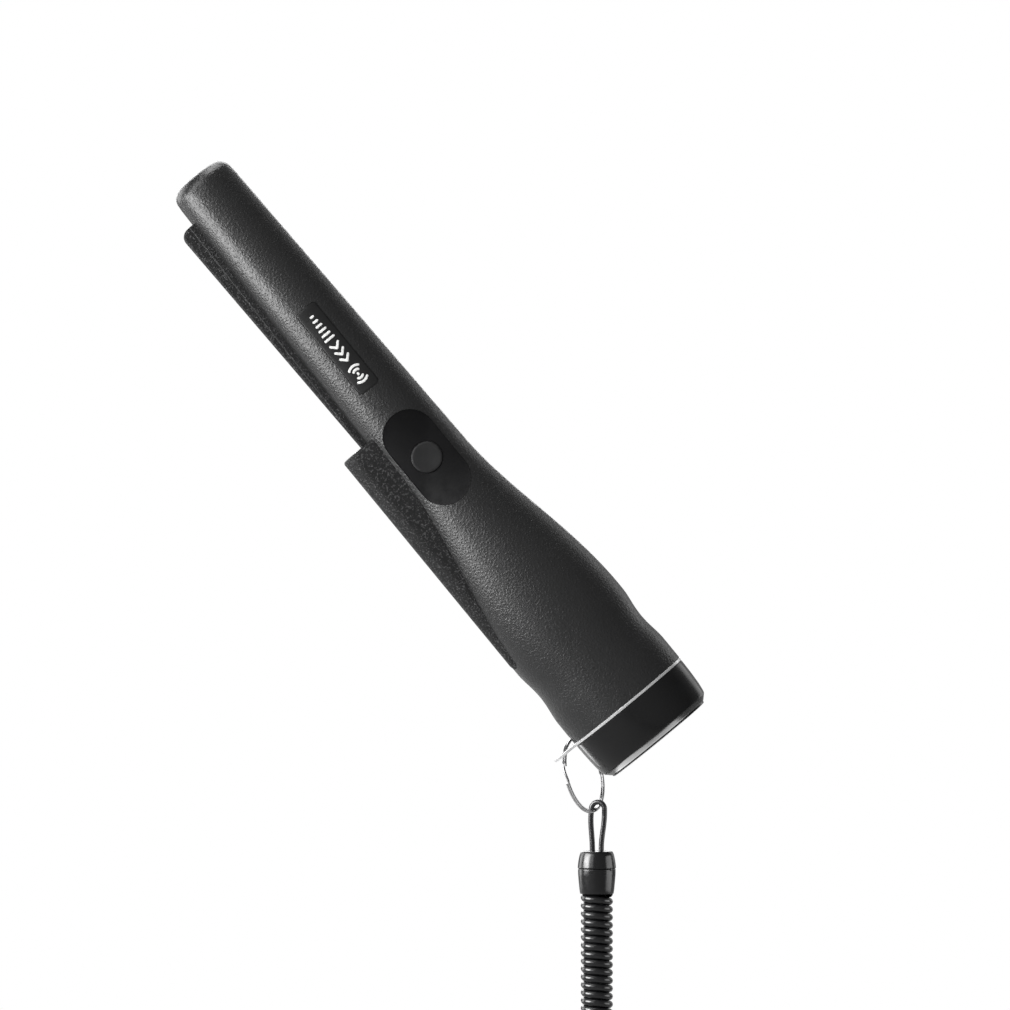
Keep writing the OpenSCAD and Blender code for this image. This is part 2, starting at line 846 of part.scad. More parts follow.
body_shell();
scraper_rail();
label_panel();
thumb_bezel();
power_button();
switch_plunger();
tact_switch();
led_lens();
led();
main_pcb();
pcb_components();
chassis();
board_screws();
bulkhead_screws();
tip_cushion();
ferrite_rod();
coil_former();
transmit_winding();
receive_windings();
vibration_motor();
motor_shaft();
motor_weight();
speaker();
speaker_gasket();
battery();
battery_terminals();
battery_snap();
red_lead();
black_lead();
battery_cushion();
cap_gasket();
lanyard_plate();
battery_cap();
split_ring();
strap_loop_top();
fitting_top_dome();
fitting_top_sleeve();
coil_cord();
fitting_bottom_sleeve();
fitting_bottom_dome();
strap_loop_bottom();
swivel_eye();
clasp_body();
clasp_gate();
gate_pin();
gate_spring();
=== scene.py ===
import math

import bmesh
import bpy
from mathutils import Matrix, Vector


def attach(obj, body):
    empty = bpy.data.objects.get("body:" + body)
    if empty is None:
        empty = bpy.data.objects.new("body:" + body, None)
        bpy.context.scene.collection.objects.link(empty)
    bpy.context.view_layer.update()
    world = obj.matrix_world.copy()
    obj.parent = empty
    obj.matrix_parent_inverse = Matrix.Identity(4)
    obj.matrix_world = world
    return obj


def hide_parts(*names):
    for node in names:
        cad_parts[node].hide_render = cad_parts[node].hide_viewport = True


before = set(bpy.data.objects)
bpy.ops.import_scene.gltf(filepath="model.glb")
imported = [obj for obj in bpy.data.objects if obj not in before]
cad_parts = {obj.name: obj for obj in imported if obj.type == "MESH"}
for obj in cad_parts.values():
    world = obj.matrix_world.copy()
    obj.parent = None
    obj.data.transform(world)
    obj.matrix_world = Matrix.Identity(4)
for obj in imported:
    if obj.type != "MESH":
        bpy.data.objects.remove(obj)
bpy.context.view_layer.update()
scene = bpy.context.scene

# ---- sizes, in millimetres
# A distance s runs along the probe's axis from its tip; the hold is the frame's origin.
MM = 0.001
HOLD = 160.0
TILT = math.radians(39.4)
PROBE = Matrix.Scale(MM, 4) @ Matrix.Rotation(-TILT, 4, "Y")
WORLD = Matrix.Scale(MM, 4)

BODY_LEN = 214.0
TIP_R = 10.4
TIP_ROUND = 4.2
TIP_DOME = 0.35
FLARE = (118.0, 184.0)
TAIL = (21.4, 18.5)
MOUTH = (19.2, 16.3)
MOUTH_START = 203.5
WALL = 2.1

RIB_START = 11.7
PAD = (99.6, 184.0)
PAD_REACH = 21.6
PAD_W = 17.0
PAD_CORNER = 5.0
RAIL_ROOT_X = -6.0
RIB_REACH = (16.0, 14.3)
RIB_NOSE = 3.2
LAMP_X = -16.4
LAMP_R = 2.6

LABEL_S = 70.8
LABEL = (32.7, 7.7)
DISH_S = 115.0
DISH = (17.0, 8.6)
DISH_FLOOR_Y = -8.2
DISH_DEPTH = 2.7
DISH_LIP = 0.18
BUTTON_R = 5.0
BUTTON_TOP_Y = -10.6
SOUND_S = 138
SOUND_PITCH = 4

CAP_START = 214.9
CAP_END = 229.9
PLATE_T = 0.9
TAB_REACH = 29.7
TAB_W = 11.0
TAB_HOLE = (-25.9, 2.8)

RING_CENTRE = Vector((20.750, 7.792, -65.226))
RING_R = 12.0
RING_LEAN = math.radians(14.6)
RING_TURN = math.radians(62.6)

STRAP_POINT = Vector((24.939, 10.279, -76.193))
STRAP_TURN = math.radians(-23.5)
STRAP_D = 1.7
STRAP_DROP = 13.4
FITTING_LEN = 13.5
FITTING_R = 5.75
FITTING_TOP_Z = STRAP_POINT.z - STRAP_DROP
COIL_TOP_Z = FITTING_TOP_Z - FITTING_LEN
COIL_TURNS = 38
COIL_PITCH = 2.5
WIRE_D = 2.45
COIL_R = 10.2 / 2 - WIRE_D / 2
COIL_BOTTOM_Z = COIL_TOP_Z - COIL_TURNS * COIL_PITCH
LOW_FITTING_Z = COIL_BOTTOM_Z - FITTING_LEN
LOW_BEND_Z = LOW_FITTING_Z - STRAP_DROP
EYE_R = 3.2
EYE_Z = LOW_BEND_Z - EYE_R
HOOK_R = 6.4
HOOK_Z = -19
PIN = (-2.2, -12.4)
CLASP = (
    WORLD
    @ Matrix.Translation((STRAP_POINT.x, STRAP_POINT.y, EYE_Z))
    @ Matrix.Rotation(STRAP_TURN, 4, "Z")
)


def up(s):
    return HOLD - s


def smooth(t):
    c = max(0.0, min(1.0, t))
    return c * c * (3 - 2 * c)


def tube_r(s):
    return TIP_R + 2.9 * s / 125.0


def half_w(s):
    flare = smooth((s - FLARE[0]) / (FLARE[1] - FLARE[0]))
    t = abs(s - 196) / 10
    waist = 0.9 * (1 - t * t) ** 2 if t < 1 else 0
    return tube_r(s) + (TAIL[0] - tube_r(s)) * flare - waist


def half_d(s):
    flare = smooth((s - FLARE[0]) / (FLARE[1] - FLARE[0]))
    return tube_r(s) + (TAIL[1] - tube_r(s)) * flare


def front_y(x, s):
    """Front of the body's surface at a place across and along the probe."""
    return -half_d(s) * math.sqrt(max(0.0, 1 - (x / half_w(s)) ** 2))


# ---- camera, floor and light, in metres
VIEW_CENTRE = (-0.0041, 0.0198)
VIEW_W = 0.318
CAMERA_AWAY = 2.4
FLOOR_R = 1.6
FLOOR_Z = -0.262
# Share of the way from the front of the room to its back, and the grey that the part reflects there
ROOM_GREYS = (
    (0.0, 0.36),
    (0.10, 0.3),
    (0.30, 0.2),
    (0.50, 0.13),
    (0.66, 0.20),
    (0.82, 0.16),
    (1.0, 0.32),
)


def add_camera():
    data = bpy.data.cameras.new("camera")
    cam = bpy.data.objects.new("camera", data)
    scene.collection.objects.link(cam)
    cam.location = (VIEW_CENTRE[0], -CAMERA_AWAY, VIEW_CENTRE[1])
    cam.rotation_euler = (math.radians(90), 0, 0)
    data.sensor_width = 36
    data.lens = data.sensor_width * CAMERA_AWAY / VIEW_W
    data.clip_start = 0.05
    scene.camera = cam


def add_node(tree, kind, inputs=None, **settings):
    """New shader node with its settings and the values of its inputs."""
    node = tree.nodes.new("ShaderNode" + kind)
    for key, value in settings.items():
        setattr(node, key, value)
    for key, value in (inputs or {}).items():
        node.inputs[key].default_value = value
    return node


def add_room():
    """World that is white to the camera and grey to the part."""
    scene.view_settings.view_transform = "Standard"
    scene.world = bpy.data.worlds.new("studio")
    scene.world.use_nodes = True
    tree = scene.world.node_tree
    tree.nodes.clear()
    out = add_node(tree, "OutputWorld")
    plain = add_node(tree, "Background", {"Color": (1, 1, 1, 1), "Strength": 1.0})
    lit = add_node(tree, "Background", {"Strength": 1.0})
    path = add_node(tree, "LightPath")
    mix = add_node(tree, "MixShader")
    coord = add_node(tree, "TexCoord")
    split = add_node(tree, "SeparateXYZ")
    depth = add_node(tree, "MapRange", {"From Min": -1, "From Max": 1})
    ramp = add_node(tree, "ValToRGB")
    greys = ramp.color_ramp.elements
    greys[0].position = ROOM_GREYS[0][0]
    greys[1].position = ROOM_GREYS[-1][0]
    for share, _ in ROOM_GREYS[1:-1]:
        greys.new(share)
    for element, (_, grey) in zip(greys, ROOM_GREYS):
        element.color = (grey, grey, grey, 1)
    for output, target in (
        (coord.outputs["Generated"], split.inputs["Vector"]),
        (split.outputs["Y"], depth.inputs["Value"]),
        (depth.outputs["Result"], ramp.inputs["Fac"]),
        (ramp.outputs["Color"], lit.inputs["Color"]),
        (path.outputs["Is Camera Ray"], mix.inputs["Fac"]),
        (lit.outputs["Background"], mix.inputs[1]),
        (plain.outputs["Background"], mix.inputs[2]),
        (mix.outputs["Shader"], out.inputs["Surface"]),
    ):
        tree.links.new(output, target)


def area_light(name, place, target, width, height, watts, lean=0.0):
    """Rectangle facing its target, its height standing up or leaning like the probe."""
    data = bpy.data.lights.new(name, "AREA")
    data.shape = "RECTANGLE"
    data.size = width
    data.size_y = height
    data.energy = watts
    obj = bpy.data.objects.new(name, data)
    obj.visible_camera = False
    scene.collection.objects.link(obj)
    obj.location = place
    face = (Vector(target) - Vector(place)).normalized()
    upright = (0, 0, 1) if abs(face.z) < 0.99 else (0, 1, 0)
    tall = Matrix.Rotation(-lean, 3, "Y") @ Vector(upright)
    tall = (tall - face * tall.dot(face)).normalized()
    turn = Matrix((tall.cross(-face), tall, -face)).transposed()
    obj.rotation_euler = turn.to_euler()


def add_lamps():
    centre = (0, 0, 0)
    lanyard = (0.025, 0.01, -0.15)
    area_light("key", (-0.346, -0.123, -0.024), (-0.134, 0, 0.150), 0.19, 0.20, 0.98, TILT)
    area_light("grain", (-0.30, -0.42, -0.27), (0.014, 0, -0.015), 0.08, 0.16, 0.14, TILT)
    area_light("fill", (-0.9, -0.9, 0.5), centre, 1.0, 1.0, 8)
    area_light("top", (-0.2, 0.1, 1.3), centre, 1.2, 0.8, 12)
    area_light("side", (0.9, 1.0, 0.4), centre, 0.5, 1.0, 1.5)
    area_light("back", (-0.25, 1.3, 0.65), centre, 1.1, 1.1, 15)
    area_light("rear", (-1.1, 0.7, 0.15), centre, 0.6, 0.9, 6)
    area_light("under", (0.22, 0.11, -0.255), (0.22, 0.11, 0), 0.36, 0.26, 1.9)
    area_light("glint", (-0.7, -0.24, 0.2), lanyard, 0.6, 0.5, 14)
    area_light("panel", (0.62, -0.05, -0.12), lanyard, 0.5, 0.5, 2.4)
    area_light("strip", (-0.18, 0.30, -0.20), (0.02, 0, -0.05), 0.04, 0.16, 0.12)


def aim_light(light, pieces, state="INCLUDE"):
    """Lamp that reaches only these pieces, or all but these."""
    reached = bpy.data.collections.new(light + "_reach")
    for obj in pieces:
        reached.objects.link(obj)
    for entry in reached.collection_objects:
        entry.light_linking.link_state = state
    bpy.data.objects[light].light_linking.receiver_collection = reached


def aim_lamps(lanyard):
    """Accents that reach one piece or the lanyard, and a key that spares the polished ring."""
    cap = bpy.data.objects["battery_cap_moulded"]
    aim_light("under", [cap])
    aim_light("grain", [bpy.data.objects["body_shell_moulded"]])
    aim_light("strip", [cap])
    aim_light("glint", lanyard)
    aim_light("panel", lanyard)
    aim_light("key", [bpy.data.objects["split_ring_wire"]], "EXCLUDE")


def add_floor():
    """Pale disc under the clasp, which fades into the white for the camera."""
    bm = bmesh.new()
    bmesh.ops.create_circle(bm, cap_ends=True, radius=FLOOR_R, segments=128)
    obj = to_object("floor", bm)
    obj.location = (0, 0, FLOOR_Z)
    p = Paint("floor_white", (0.42, 0.42, 0.42), 0.75)
    away = p.node("VectorMath", operation="LENGTH")
    p.link(p.position, away.inputs[0])
    fade = p.remap(away.outputs["Value"], 0.2, 1.3, 0.6, 1)
    seen = p.math("MULTIPLY", fade, p.node("LightPath").outputs["Is Camera Ray"])
    mix = p.node("MixShader")
    p.link(seen, mix.inputs["Fac"])
    p.link(p.shader.outputs["BSDF"], mix.inputs[1])
    p.link(p.node("Emission").outputs["Emission"], mix.inputs[2])
    p.link(mix.outputs["Shader"], p.tree.nodes["Material Output"].inputs["Surface"])
    obj.data.materials.append(p.mat)


# ---- materials


class Paint:
    """A Principled material with its own pattern, in metres over the piece."""

    def __init__(self, name, colour, rough, metal=0.0, **plain):
        self.mat = bpy.data.materials.new(name)
        self.mat.use_nodes = True
        self.tree = self.mat.node_tree
        self.shader = self.tree.nodes["Principled BSDF"]
        self.shader.inputs["Base Color"].default_value = (*colour, 1)
        self.shader.inputs["Roughness"].default_value = rough
        self.shader.inputs["Metallic"].default_value = metal
        for key, value in plain.items():
            self.shader.inputs[key.replace("_", " ")].default_value = value
        self.position = self.node("TexCoord").outputs["Object"]
        self.height = None

    def node(self, kind, inputs=None, **settings):
        return add_node(self.tree, kind, inputs, **settings)

    def link(self, a, b):
        self.tree.links.new(a, b)

    def place(self, stretch=(1, 1, 1), turn=0.0):
        """Coordinates stretched, and turned about Y."""
        n = self.node("Mapping", {"Scale": stretch, "Rotation": (0, turn, 0)})
        self.link(self.position, n.inputs["Vector"])
        return n.outputs["Vector"]

    def noise(self, size, detail=3.0, vector=None, rough=0.5):
        """Noise whose features are about size metres wide."""
        n = self.node("TexNoise", {"Scale": 1 / size, "Detail": detail, "Roughness": rough})
        self.link(vector or self.position, n.inputs["Vector"])
        return n.outputs["Fac"]

    def cells(self, size, vector):
        """Soft-edged cells about size metres wide."""
        n = self.node("TexVoronoi", {"Scale": 1 / size}, feature="SMOOTH_F1")
        self.link(vector, n.inputs["Vector"])
        return n.outputs["Distance"]

    def warp(self, size, amount):
        """Coordinates pushed about by noise, for natural cells."""
        n = self.node("TexNoise", {"Scale": 1 / size, "Detail": 1.0})
        self.link(self.position, n.inputs["Vector"])
        scale = self.node("VectorMath", {"Scale": amount}, operation="SCALE")
        self.link(n.outputs["Color"], scale.inputs[0])
        add = self.node("VectorMath", operation="ADD")
        self.link(self.position, add.inputs[0])
        self.link(scale.outputs["Vector"], add.inputs[1])
        return add.outputs["Vector"]

    def remap(self, value, low, high, to_low, to_high):
        """Smooth step from one range of values to another."""
        limits = {"From Min": low, "From Max": high, "To Min": to_low, "To Max": to_high}
        n = self.node("MapRange", limits, interpolation_type="SMOOTHSTEP")
        self.link(value, n.inputs["Value"])
        return n.outputs["Result"]

    def math(self, operation, a, b):
        n = self.node("Math", operation=operation)
        for i, v in enumerate((a, b)):
            if isinstance(v, (int, float)):
                n.inputs[i].default_value = v
            else:
                self.link(v, n.inputs[i])
        return n.outputs["Value"]

    def tint(self, value, colour):
        """Blends the base colour towards another one where value is high."""
        n = self.node("Mix", data_type="RGBA")
        old = self.shader.inputs["Base Color"]
        if old.is_linked:
            self.link(old.links[0].from_socket, n.inputs["A"])
        else:
            n.inputs["A"].default_value = old.default_value
        n.inputs["B"].default_value = (*colour, 1)
        self.link(value, n.inputs["Factor"])
        self.link(n.outputs["Result"], old)

    def sheen_by(self, value, low, high):
        """Roughness that follows a pattern."""
        self.link(self.remap(value, 0.3, 0.7, low, high), self.shader.inputs["Roughness"])

    def bump(self, value, depth, strength=1.0):
        """Relief of this depth in metres, laid over any that is there already."""
        n = self.node("Bump", {"Strength": strength, "Distance": depth})
        self.link(value, n.inputs["Height"])
        if self.height is not None:
            self.link(self.height, n.inputs["Normal"])
        self.height = n.outputs["Normal"]
        self.link(self.height, self.shader.inputs["Normal"])


def paint_shell():
    """Fine leather grain moulded into black plastic."""
    p = Paint("shell_black", (0.0085, 0.0086, 0.0089), 0.34, Specular_IOR_Level=0.8)
    cells = p.cells(0.0007, p.warp(0.0013, 0.0006))
    creases = p.noise(0.0005, 4, rough=0.6)
    p.bump(p.remap(cells, 0.1, 0.55, 1, 0), 0.000058)
    p.bump(creases, 0.00006)
    p.sheen_by(p.noise(0.0012, 4), 0.30, 0.39)
    p.tint(p.remap(p.noise(0.012, 2), 0.35, 0.75, 0, 1), (0.0098, 0.0099, 0.0102))
    return p.mat


def paint_rail():
    """Coarse sparked texture with raised specks, which are also painted light grey as painted glints.
    """
    p = Paint("rail_black", (0.0075, 0.0076, 0.0079), 0.5, Specular_IOR_Level=0.32)
    coarse = p.noise(0.0010, 5, rough=0.75)
    specks_and_painted_glints = p.remap(p.noise(0.00055, 2, rough=0.7), 0.54, 0.64, 0, 1)
    p.bump(coarse, 0.00011)
    p.bump(specks_and_painted_glints, 0.00006)
    p.sheen_by(coarse, 0.42, 0.62)
    # Painted highlight: the raised specks are tinted light grey to stand in for their glints.
    p.tint(p.math("MULTIPLY", specks_and_painted_glints, 0.7), (0.12, 0.12, 0.122))
    return p.mat


def paint_panel():
    """Smooth satin inlay of the label."""
    p = Paint("panel_black", (0.0075, 0.0076, 0.0079), 0.38)
    p.bump(p.noise(0.0005, 3), 0.00002, 0.6)
    p.sheen_by(p.noise(0.003, 2), 0.32, 0.42)
    return p.mat


def paint_gloss(name, colour, rough, ripple=0.0, specular=0.5):
    p = Paint(name, colour, rough, Specular_IOR_Level=specular)
    p.sheen_by(p.noise(0.004, 4, rough=0.6), rough * 0.8, rough * 1.3)
    p.bump(p.noise(0.0007, 3), 0.000008 + ripple, 0.5)
    scuffs = p.remap(p.noise(0.0008, 6, p.place((1, 1, 6)), rough=0.75), 0.66, 0.75, 0, 1)
    p.tint(p.math("MULTIPLY", scuffs, 0.4), tuple(c * 3 + 0.01 for c in colour))
    return p.mat


def paint_rubber(name, colour, rough):
    p = Paint(name, colour, rough)
    p.bump(p.noise(0.0003, 4, rough=0.65), 0.00003, 0.8)
    p.sheen_by(p.noise(0.002, 3), rough - 0.08, rough + 0.1)
    p.tint(p.remap(p.noise(0.004, 3), 0.4, 0.8, 0, 1), tuple(c * 1.35 for c in colour))
    return p.mat


def paint_strap():
    """Round glossy cord with a faint lay along it."""
    p = Paint("strap_black", (0.012, 0.012, 0.013), 0.22)
    p.bump(p.noise(0.0006, 3, p.place((1, 1, 0.3))), 0.00003, 0.7)
    p.sheen_by(p.noise(0.002, 3), 0.16, 0.32)
    return p.mat


def paint_metal(name, colour, rough, brushed=(1, 1, 1), turn=0.0, depth=0.000012, metal=1.0):
    p = Paint(name, colour, rough, metal)
    lines = p.noise(0.0006, 5, p.place(brushed, turn), rough=0.7)
    p.sheen_by(lines, rough * 0.75, rough * 1.5)
    p.bump(lines, depth, 0.6)
    smudges = p.remap(p.noise(0.006, 4, rough=0.6), 0.45, 0.75, 0, 1)
    p.tint(p.math("MULTIPLY", smudges, 0.5), tuple(c * 0.72 for c in colour))
    return p.mat


def paint_plain(name, colour, rough, grain=0.0006, depth=0.00002, vary=0.7, metal=0.0, **plain):
    """Inner part: a colour that varies a little, with a fine surface."""
    p = Paint(name, colour, rough, metal, **plain)
    p.bump(p.noise(grain, 4, rough=0.6), depth, 0.8)
    p.sheen_by(p.noise(grain * 4, 3), rough * 0.8, min(1.0, rough * 1.25))
    p.tint(p.remap(p.noise(0.003, 4), 0.4, 0.75, 0, 1), tuple(c * vary for c in colour))
    return p.mat


def paint_board():
    """Green solder mask with fine tracks and pads."""
    p = Paint("board_green", (0.01, 0.085, 0.03), 0.35)
    black, white = (0, 0, 0, 1), (1, 1, 1, 1)
    grid = {"Scale": 330, "Mortar Size": 0.03, "Color1": black, "Color2": black, "Mortar": white}
    tracks = p.node("TexBrick", grid)
    p.link(p.place(turn=TILT), tracks.inputs["Vector"])
    p.tint(tracks.outputs["Color"], (0.03, 0.16, 0.06))
    p.bump(p.noise(0.001, 3), 0.00002, 0.5)
    return p.mat


def paint_windings(name, colour):
    """Enamelled wire laid turn by turn round the former, with painted shade in the grooves between
    turns.
    """
    p = Paint(name, colour, 0.28, metal=1.0)
    turns = {"Scale": 700, "Distortion": 0.4, "Detail": 1.0}
    wave = p.node("TexWave", turns, wave_type="BANDS", bands_direction="Z")
    p.link(p.place(turn=TILT), wave.inputs["Vector"])
    p.bump(wave.outputs["Fac"], 0.0001, 0.9)
    # Painted shade: the grooves between the turns are tinted dark brown, darkest at their bottoms.
    p.tint(p.remap(wave.outputs["Fac"], 0.0, 0.5, 0.7, 0), (0.12, 0.04, 0.01))
    return p.mat


def paint_battery():
    """Printed foil jacket: blue with a silver band at the terminal end."""
    p = Paint("battery_blue", (0.015, 0.06, 0.22), 0.3, metal=0.25)
    split = p.node("SeparateXYZ")
    p.link(p.place(turn=TILT), split.inputs["Vector"])
    band = p.remap(split.outputs["Z"], -0.0150, -0.0146, 0, 1)
    p.tint(band, (0.55, 0.56, 0.58))
    p.bump(p.noise(0.0008, 3), 0.00002, 0.5)
    p.sheen_by(p.noise(0.004, 3), 0.24, 0.38)
    return p.mat


def paint_lens(name):
    p = Paint(name, (0.93, 0.97, 1.0), 0.06, Transmission_Weight=1.0, IOR=1.49)
    p.bump(p.noise(0.002, 2), 0.00001, 0.4)
    p.sheen_by(p.noise(0.003, 3), 0.03, 0.10)
    return p.mat


def paint_print():
    p = Paint("print_white", (0.96, 0.96, 0.95), 0.5)
    p.bump(p.noise(0.0004, 3), 0.00001, 0.6)
    p.tint(p.remap(p.noise(0.0009, 4), 0.5, 0.8, 0, 1), (0.88, 0.88, 0.87))
    return p.mat


MATS = {
    "shell_black": paint_shell(),
    "rail_black": paint_rail(),
    "panel_black": paint_panel(),
    "button_rubber": paint_rubber("button_rubber", (0.009, 0.009, 0.0095), 0.5),
    "gloss_black": paint_gloss("gloss_black", (0.003, 0.003, 0.0033), 0.21),
    "dish_black": paint_gloss("dish_black", (0.004, 0.004, 0.0045), 0.55, specular=0.22),
    "cord_black": paint_gloss("cord_black", (0.0075, 0.0075, 0.008), 0.17, 0.00001),
    "strap_black": paint_strap(),
    "lens_clear": paint_lens("lens_clear"),
    "led_white": paint_plain("led_white", (0.85, 0.84, 0.74), 0.25, vary=0.9),
    "switch_body": paint_plain("switch_body", (0.012, 0.012, 0.013), 0.45, vary=1.6),
    "switch_ivory": paint_plain("switch_ivory", (0.58, 0.55, 0.44), 0.4),
    "board_green": paint_board(),
    "component_black": paint_plain("component_black", (0.014, 0.014, 0.015), 0.5, vary=2.0),
    "chassis_grey": paint_plain("chassis_grey", (0.045, 0.048, 0.055), 0.5, vary=0.75),
    "zinc_screw": paint_metal("zinc_screw", (0.62, 0.63, 0.65), 0.3),
    "foam_grey": paint_plain("foam_grey", (0.14, 0.14, 0.13), 0.9, 0.0005, 0.00025, 0.6),
    "ferrite": paint_plain("ferrite", (0.04, 0.037, 0.034), 0.6, 0.0004, 0.00005),
    "former_ivory": paint_plain("former_ivory", (0.62, 0.58, 0.46), 0.42, vary=0.85),
    "copper": paint_windings("copper", (0.72, 0.34, 0.16)),
    "motor_steel": paint_metal("motor_steel", (0.60, 0.61, 0.62), 0.28),
    "speaker_brass": paint_metal("speaker_brass", (0.72, 0.58, 0.28), 0.33),
    "battery_blue": paint_battery(),
    "terminal_nickel": paint_metal("terminal_nickel", (0.68, 0.67, 0.64), 0.22),
    "wire_red": paint_plain("wire_red", (0.45, 0.012, 0.010), 0.4, vary=0.8),
    "wire_black": paint_plain("wire_black", (0.010, 0.010, 0.010), 0.4, vary=1.8),
    "seal_black": paint_rubber("seal_black", (0.012, 0.012, 0.012), 0.55),
    "plate_steel": paint_metal(
        "plate_steel", (0.93, 0.93, 0.935), 0.26, (1, 1, 0.15), TILT, 0.00001, 0.6
    ),
    "ring_nickel": paint_metal("ring_nickel", (0.78, 0.78, 0.785), 0.07, (1, 1, 1), 0, 0.000003),
    "clasp_nickel": paint_metal("clasp_nickel", (0.76, 0.75, 0.73), 0.17),
    "print_white": paint_print(),
}

# ---- mesh helpers


def skin(rings, wrap=False):
    """Closed surface through rings of equal count; a ring of one point closes an end."""
    bm = bmesh.new()
    rows = [[bm.verts.new(p) for p in ring] for ring in rings]
    pairs = list(zip(rows, rows[1:])) + ([(rows[-1], rows[0])] if wrap else [])
    for a, b in pairs:
        n = max(len(a), len(b))
        for i in range(n):
            j = (i + 1) % n
            if len(a) == 1:
                bm.faces.new((a[0], b[j], b[i]))
            elif len(b) == 1:
                bm.faces.new((a[i], a[j], b[0]))
            else:
                bm.faces.new((a[i], a[j], b[j], b[i]))
    if not wrap:
        for row in (rows[0], rows[-1]):
            if len(row) > 2:
                bm.faces.new(row)
    bmesh.ops.recalc_face_normals(bm, faces=bm.faces)
    return bm


def ellipse(w, d, sides):
    angles = [2 * math.pi * i / sides for i in range(sides)]
    return [(w * math.cos(a), d * math.sin(a)) for a in angles]


def circle(radius, sides):
    return ellipse(radius, radius, sides)


def oval(w, d, s, sides=160):
    """Ring across the probe at a distance from its tip."""
    return [(x, y, up(s)) for x, y in ellipse(w, d, sides)]


def lathe(profile, sides):
    """Turned piece about Z from (radius, z) pairs; a radius of 0 closes an end."""
    rings = []
    for r, z in profile:
        rings.append([(x, y, z) for x, y in circle(r, sides)] if r > 0 else [(0, 0, z)])
    return skin(rings)


def rounded(profile, radius):
    """Profile with every corner between its ends rounded off."""
    steps = 4
    out = [profile[0]]
    for before, at, after in zip(profile, profile[1:], profile[2:]):
        a, b, c = Vector(before), Vector(at), Vector(after)
        u, v = (a - b), (c - b)
        cut = min(radius, u.length * 0.45, v.length * 0.45)
        p, q = b + u.normalized() * cut, b + v.normalized() * cut
        for i in range(steps + 1):
            t = i / steps
            out.append(tuple((1 - t) ** 2 * p + 2 * t * (1 - t) * b + t * t * q))
    out.append(profile[-1])
    return out


def sweep(path, section, closed=False):
    """Carries a section along a path; the section is a function of the share travelled."""
    points = [Vector(p) for p in path]
    n = len(points)
    tangents = []
    for i in range(n):
        a = points[(i - 1) % n] if closed or i else points[0]
        b = points[(i + 1) % n] if closed or i < n - 1 else points[-1]
        tangents.append((b - a).normalized())
    ref = tangents[0].orthogonal().normalized()
    rings = []
    for i, (p, t) in enumerate(zip(points, tangents)):
        ref = (ref - t * ref.dot(t)).normalized()
        side = t.cross(ref)
        rings.append([p + ref * u + side * v for u, v in section(i / max(1, n - 1))])
    return skin(rings, wrap=closed)


def to_object(name, bm, matrix=None):
    if matrix is not None:
        bm.transform(matrix)
    mesh = bpy.data.meshes.new(name)
    bm.to_mesh(mesh)
    bm.free()
    obj = bpy.data.objects.new(name, mesh)
    scene.collection.objects.link(obj)
    return obj


def apply_modifiers(obj):
    depsgraph = bpy.context.evaluated_depsgraph_get()
    mesh = bpy.data.meshes.new_from_object(obj.evaluated_get(depsgraph))
    obj.modifiers.clear()
    old = obj.data
    obj.data = mesh
    bpy.data.meshes.remove(old)


def combine(obj, tools, operation):
    """Cuts or joins with other closed meshes, which are used up."""
    for tool in tools:
        m = obj.modifiers.new("combine", "BOOLEAN")
        m.operation = operation
        m.solver = "EXACT"
        m.object = tool
        bpy.context.view_layer.update()
        apply_modifiers(obj)
        bpy.data.objects.remove(tool)


def soften(obj, width, angle):
    """Rounds the edges that are sharper than an angle in degrees."""
    m = obj.modifiers.new("soften", "BEVEL")
    m.width = width
    m.segments = 2
    m.limit_method = "ANGLE"
    m.angle_limit = math.radians(angle)
    m.use_clamp_overlap = True
    apply_modifiers(obj)


def settle(obj, body, slot, nodes=(), smooth_angle=40, paint=None):
    """Material, shading and body of one finished piece; hides the CAD nodes that it replaces."""
    obj.data.materials.clear()
    obj.data.materials.append(MATS[paint or slot])
    if obj.type == "MESH":
        obj.data.shade_smooth()
        obj.data.set_sharp_from_angle(angle=math.radians(smooth_angle))
    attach(obj, body)
    if nodes:
        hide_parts(*nodes)


# ---- cord


def cord_object(name, points, diameter, kind):
    """Round cord along points in millimetres."""
    data = bpy.data.curves.new(name, "CURVE")
    data.dimensions = "3D"
    data.bevel_depth = diameter / 2 * MM
    data.bevel_resolution = 4
    spline = data.splines.new(kind)
    spline.points.add(len(points) - 1)
    for point, place in zip(spline.points, points):
        point.co = (*(c * MM for c in place), 1)
    obj = bpy.data.objects.new(name, data)
    scene.collection.objects.link(obj)
    return obj


def add_coil():
    """The curly cord: one helix from the top sleeve to the bottom one."""
    steps = 24
    points = []
    for i in range(COIL_TURNS * steps + 1):
        a = 2 * math.pi * i / steps
        x, y = STRAP_POINT.x + COIL_R * math.cos(a), STRAP_POINT.y + COIL_R * math.sin(a)
        points.append((x, y, COIL_TOP_Z - COIL_PITCH * i / steps))
    return cord_object("coil_cord_helix", points, WIRE_D, "POLY")


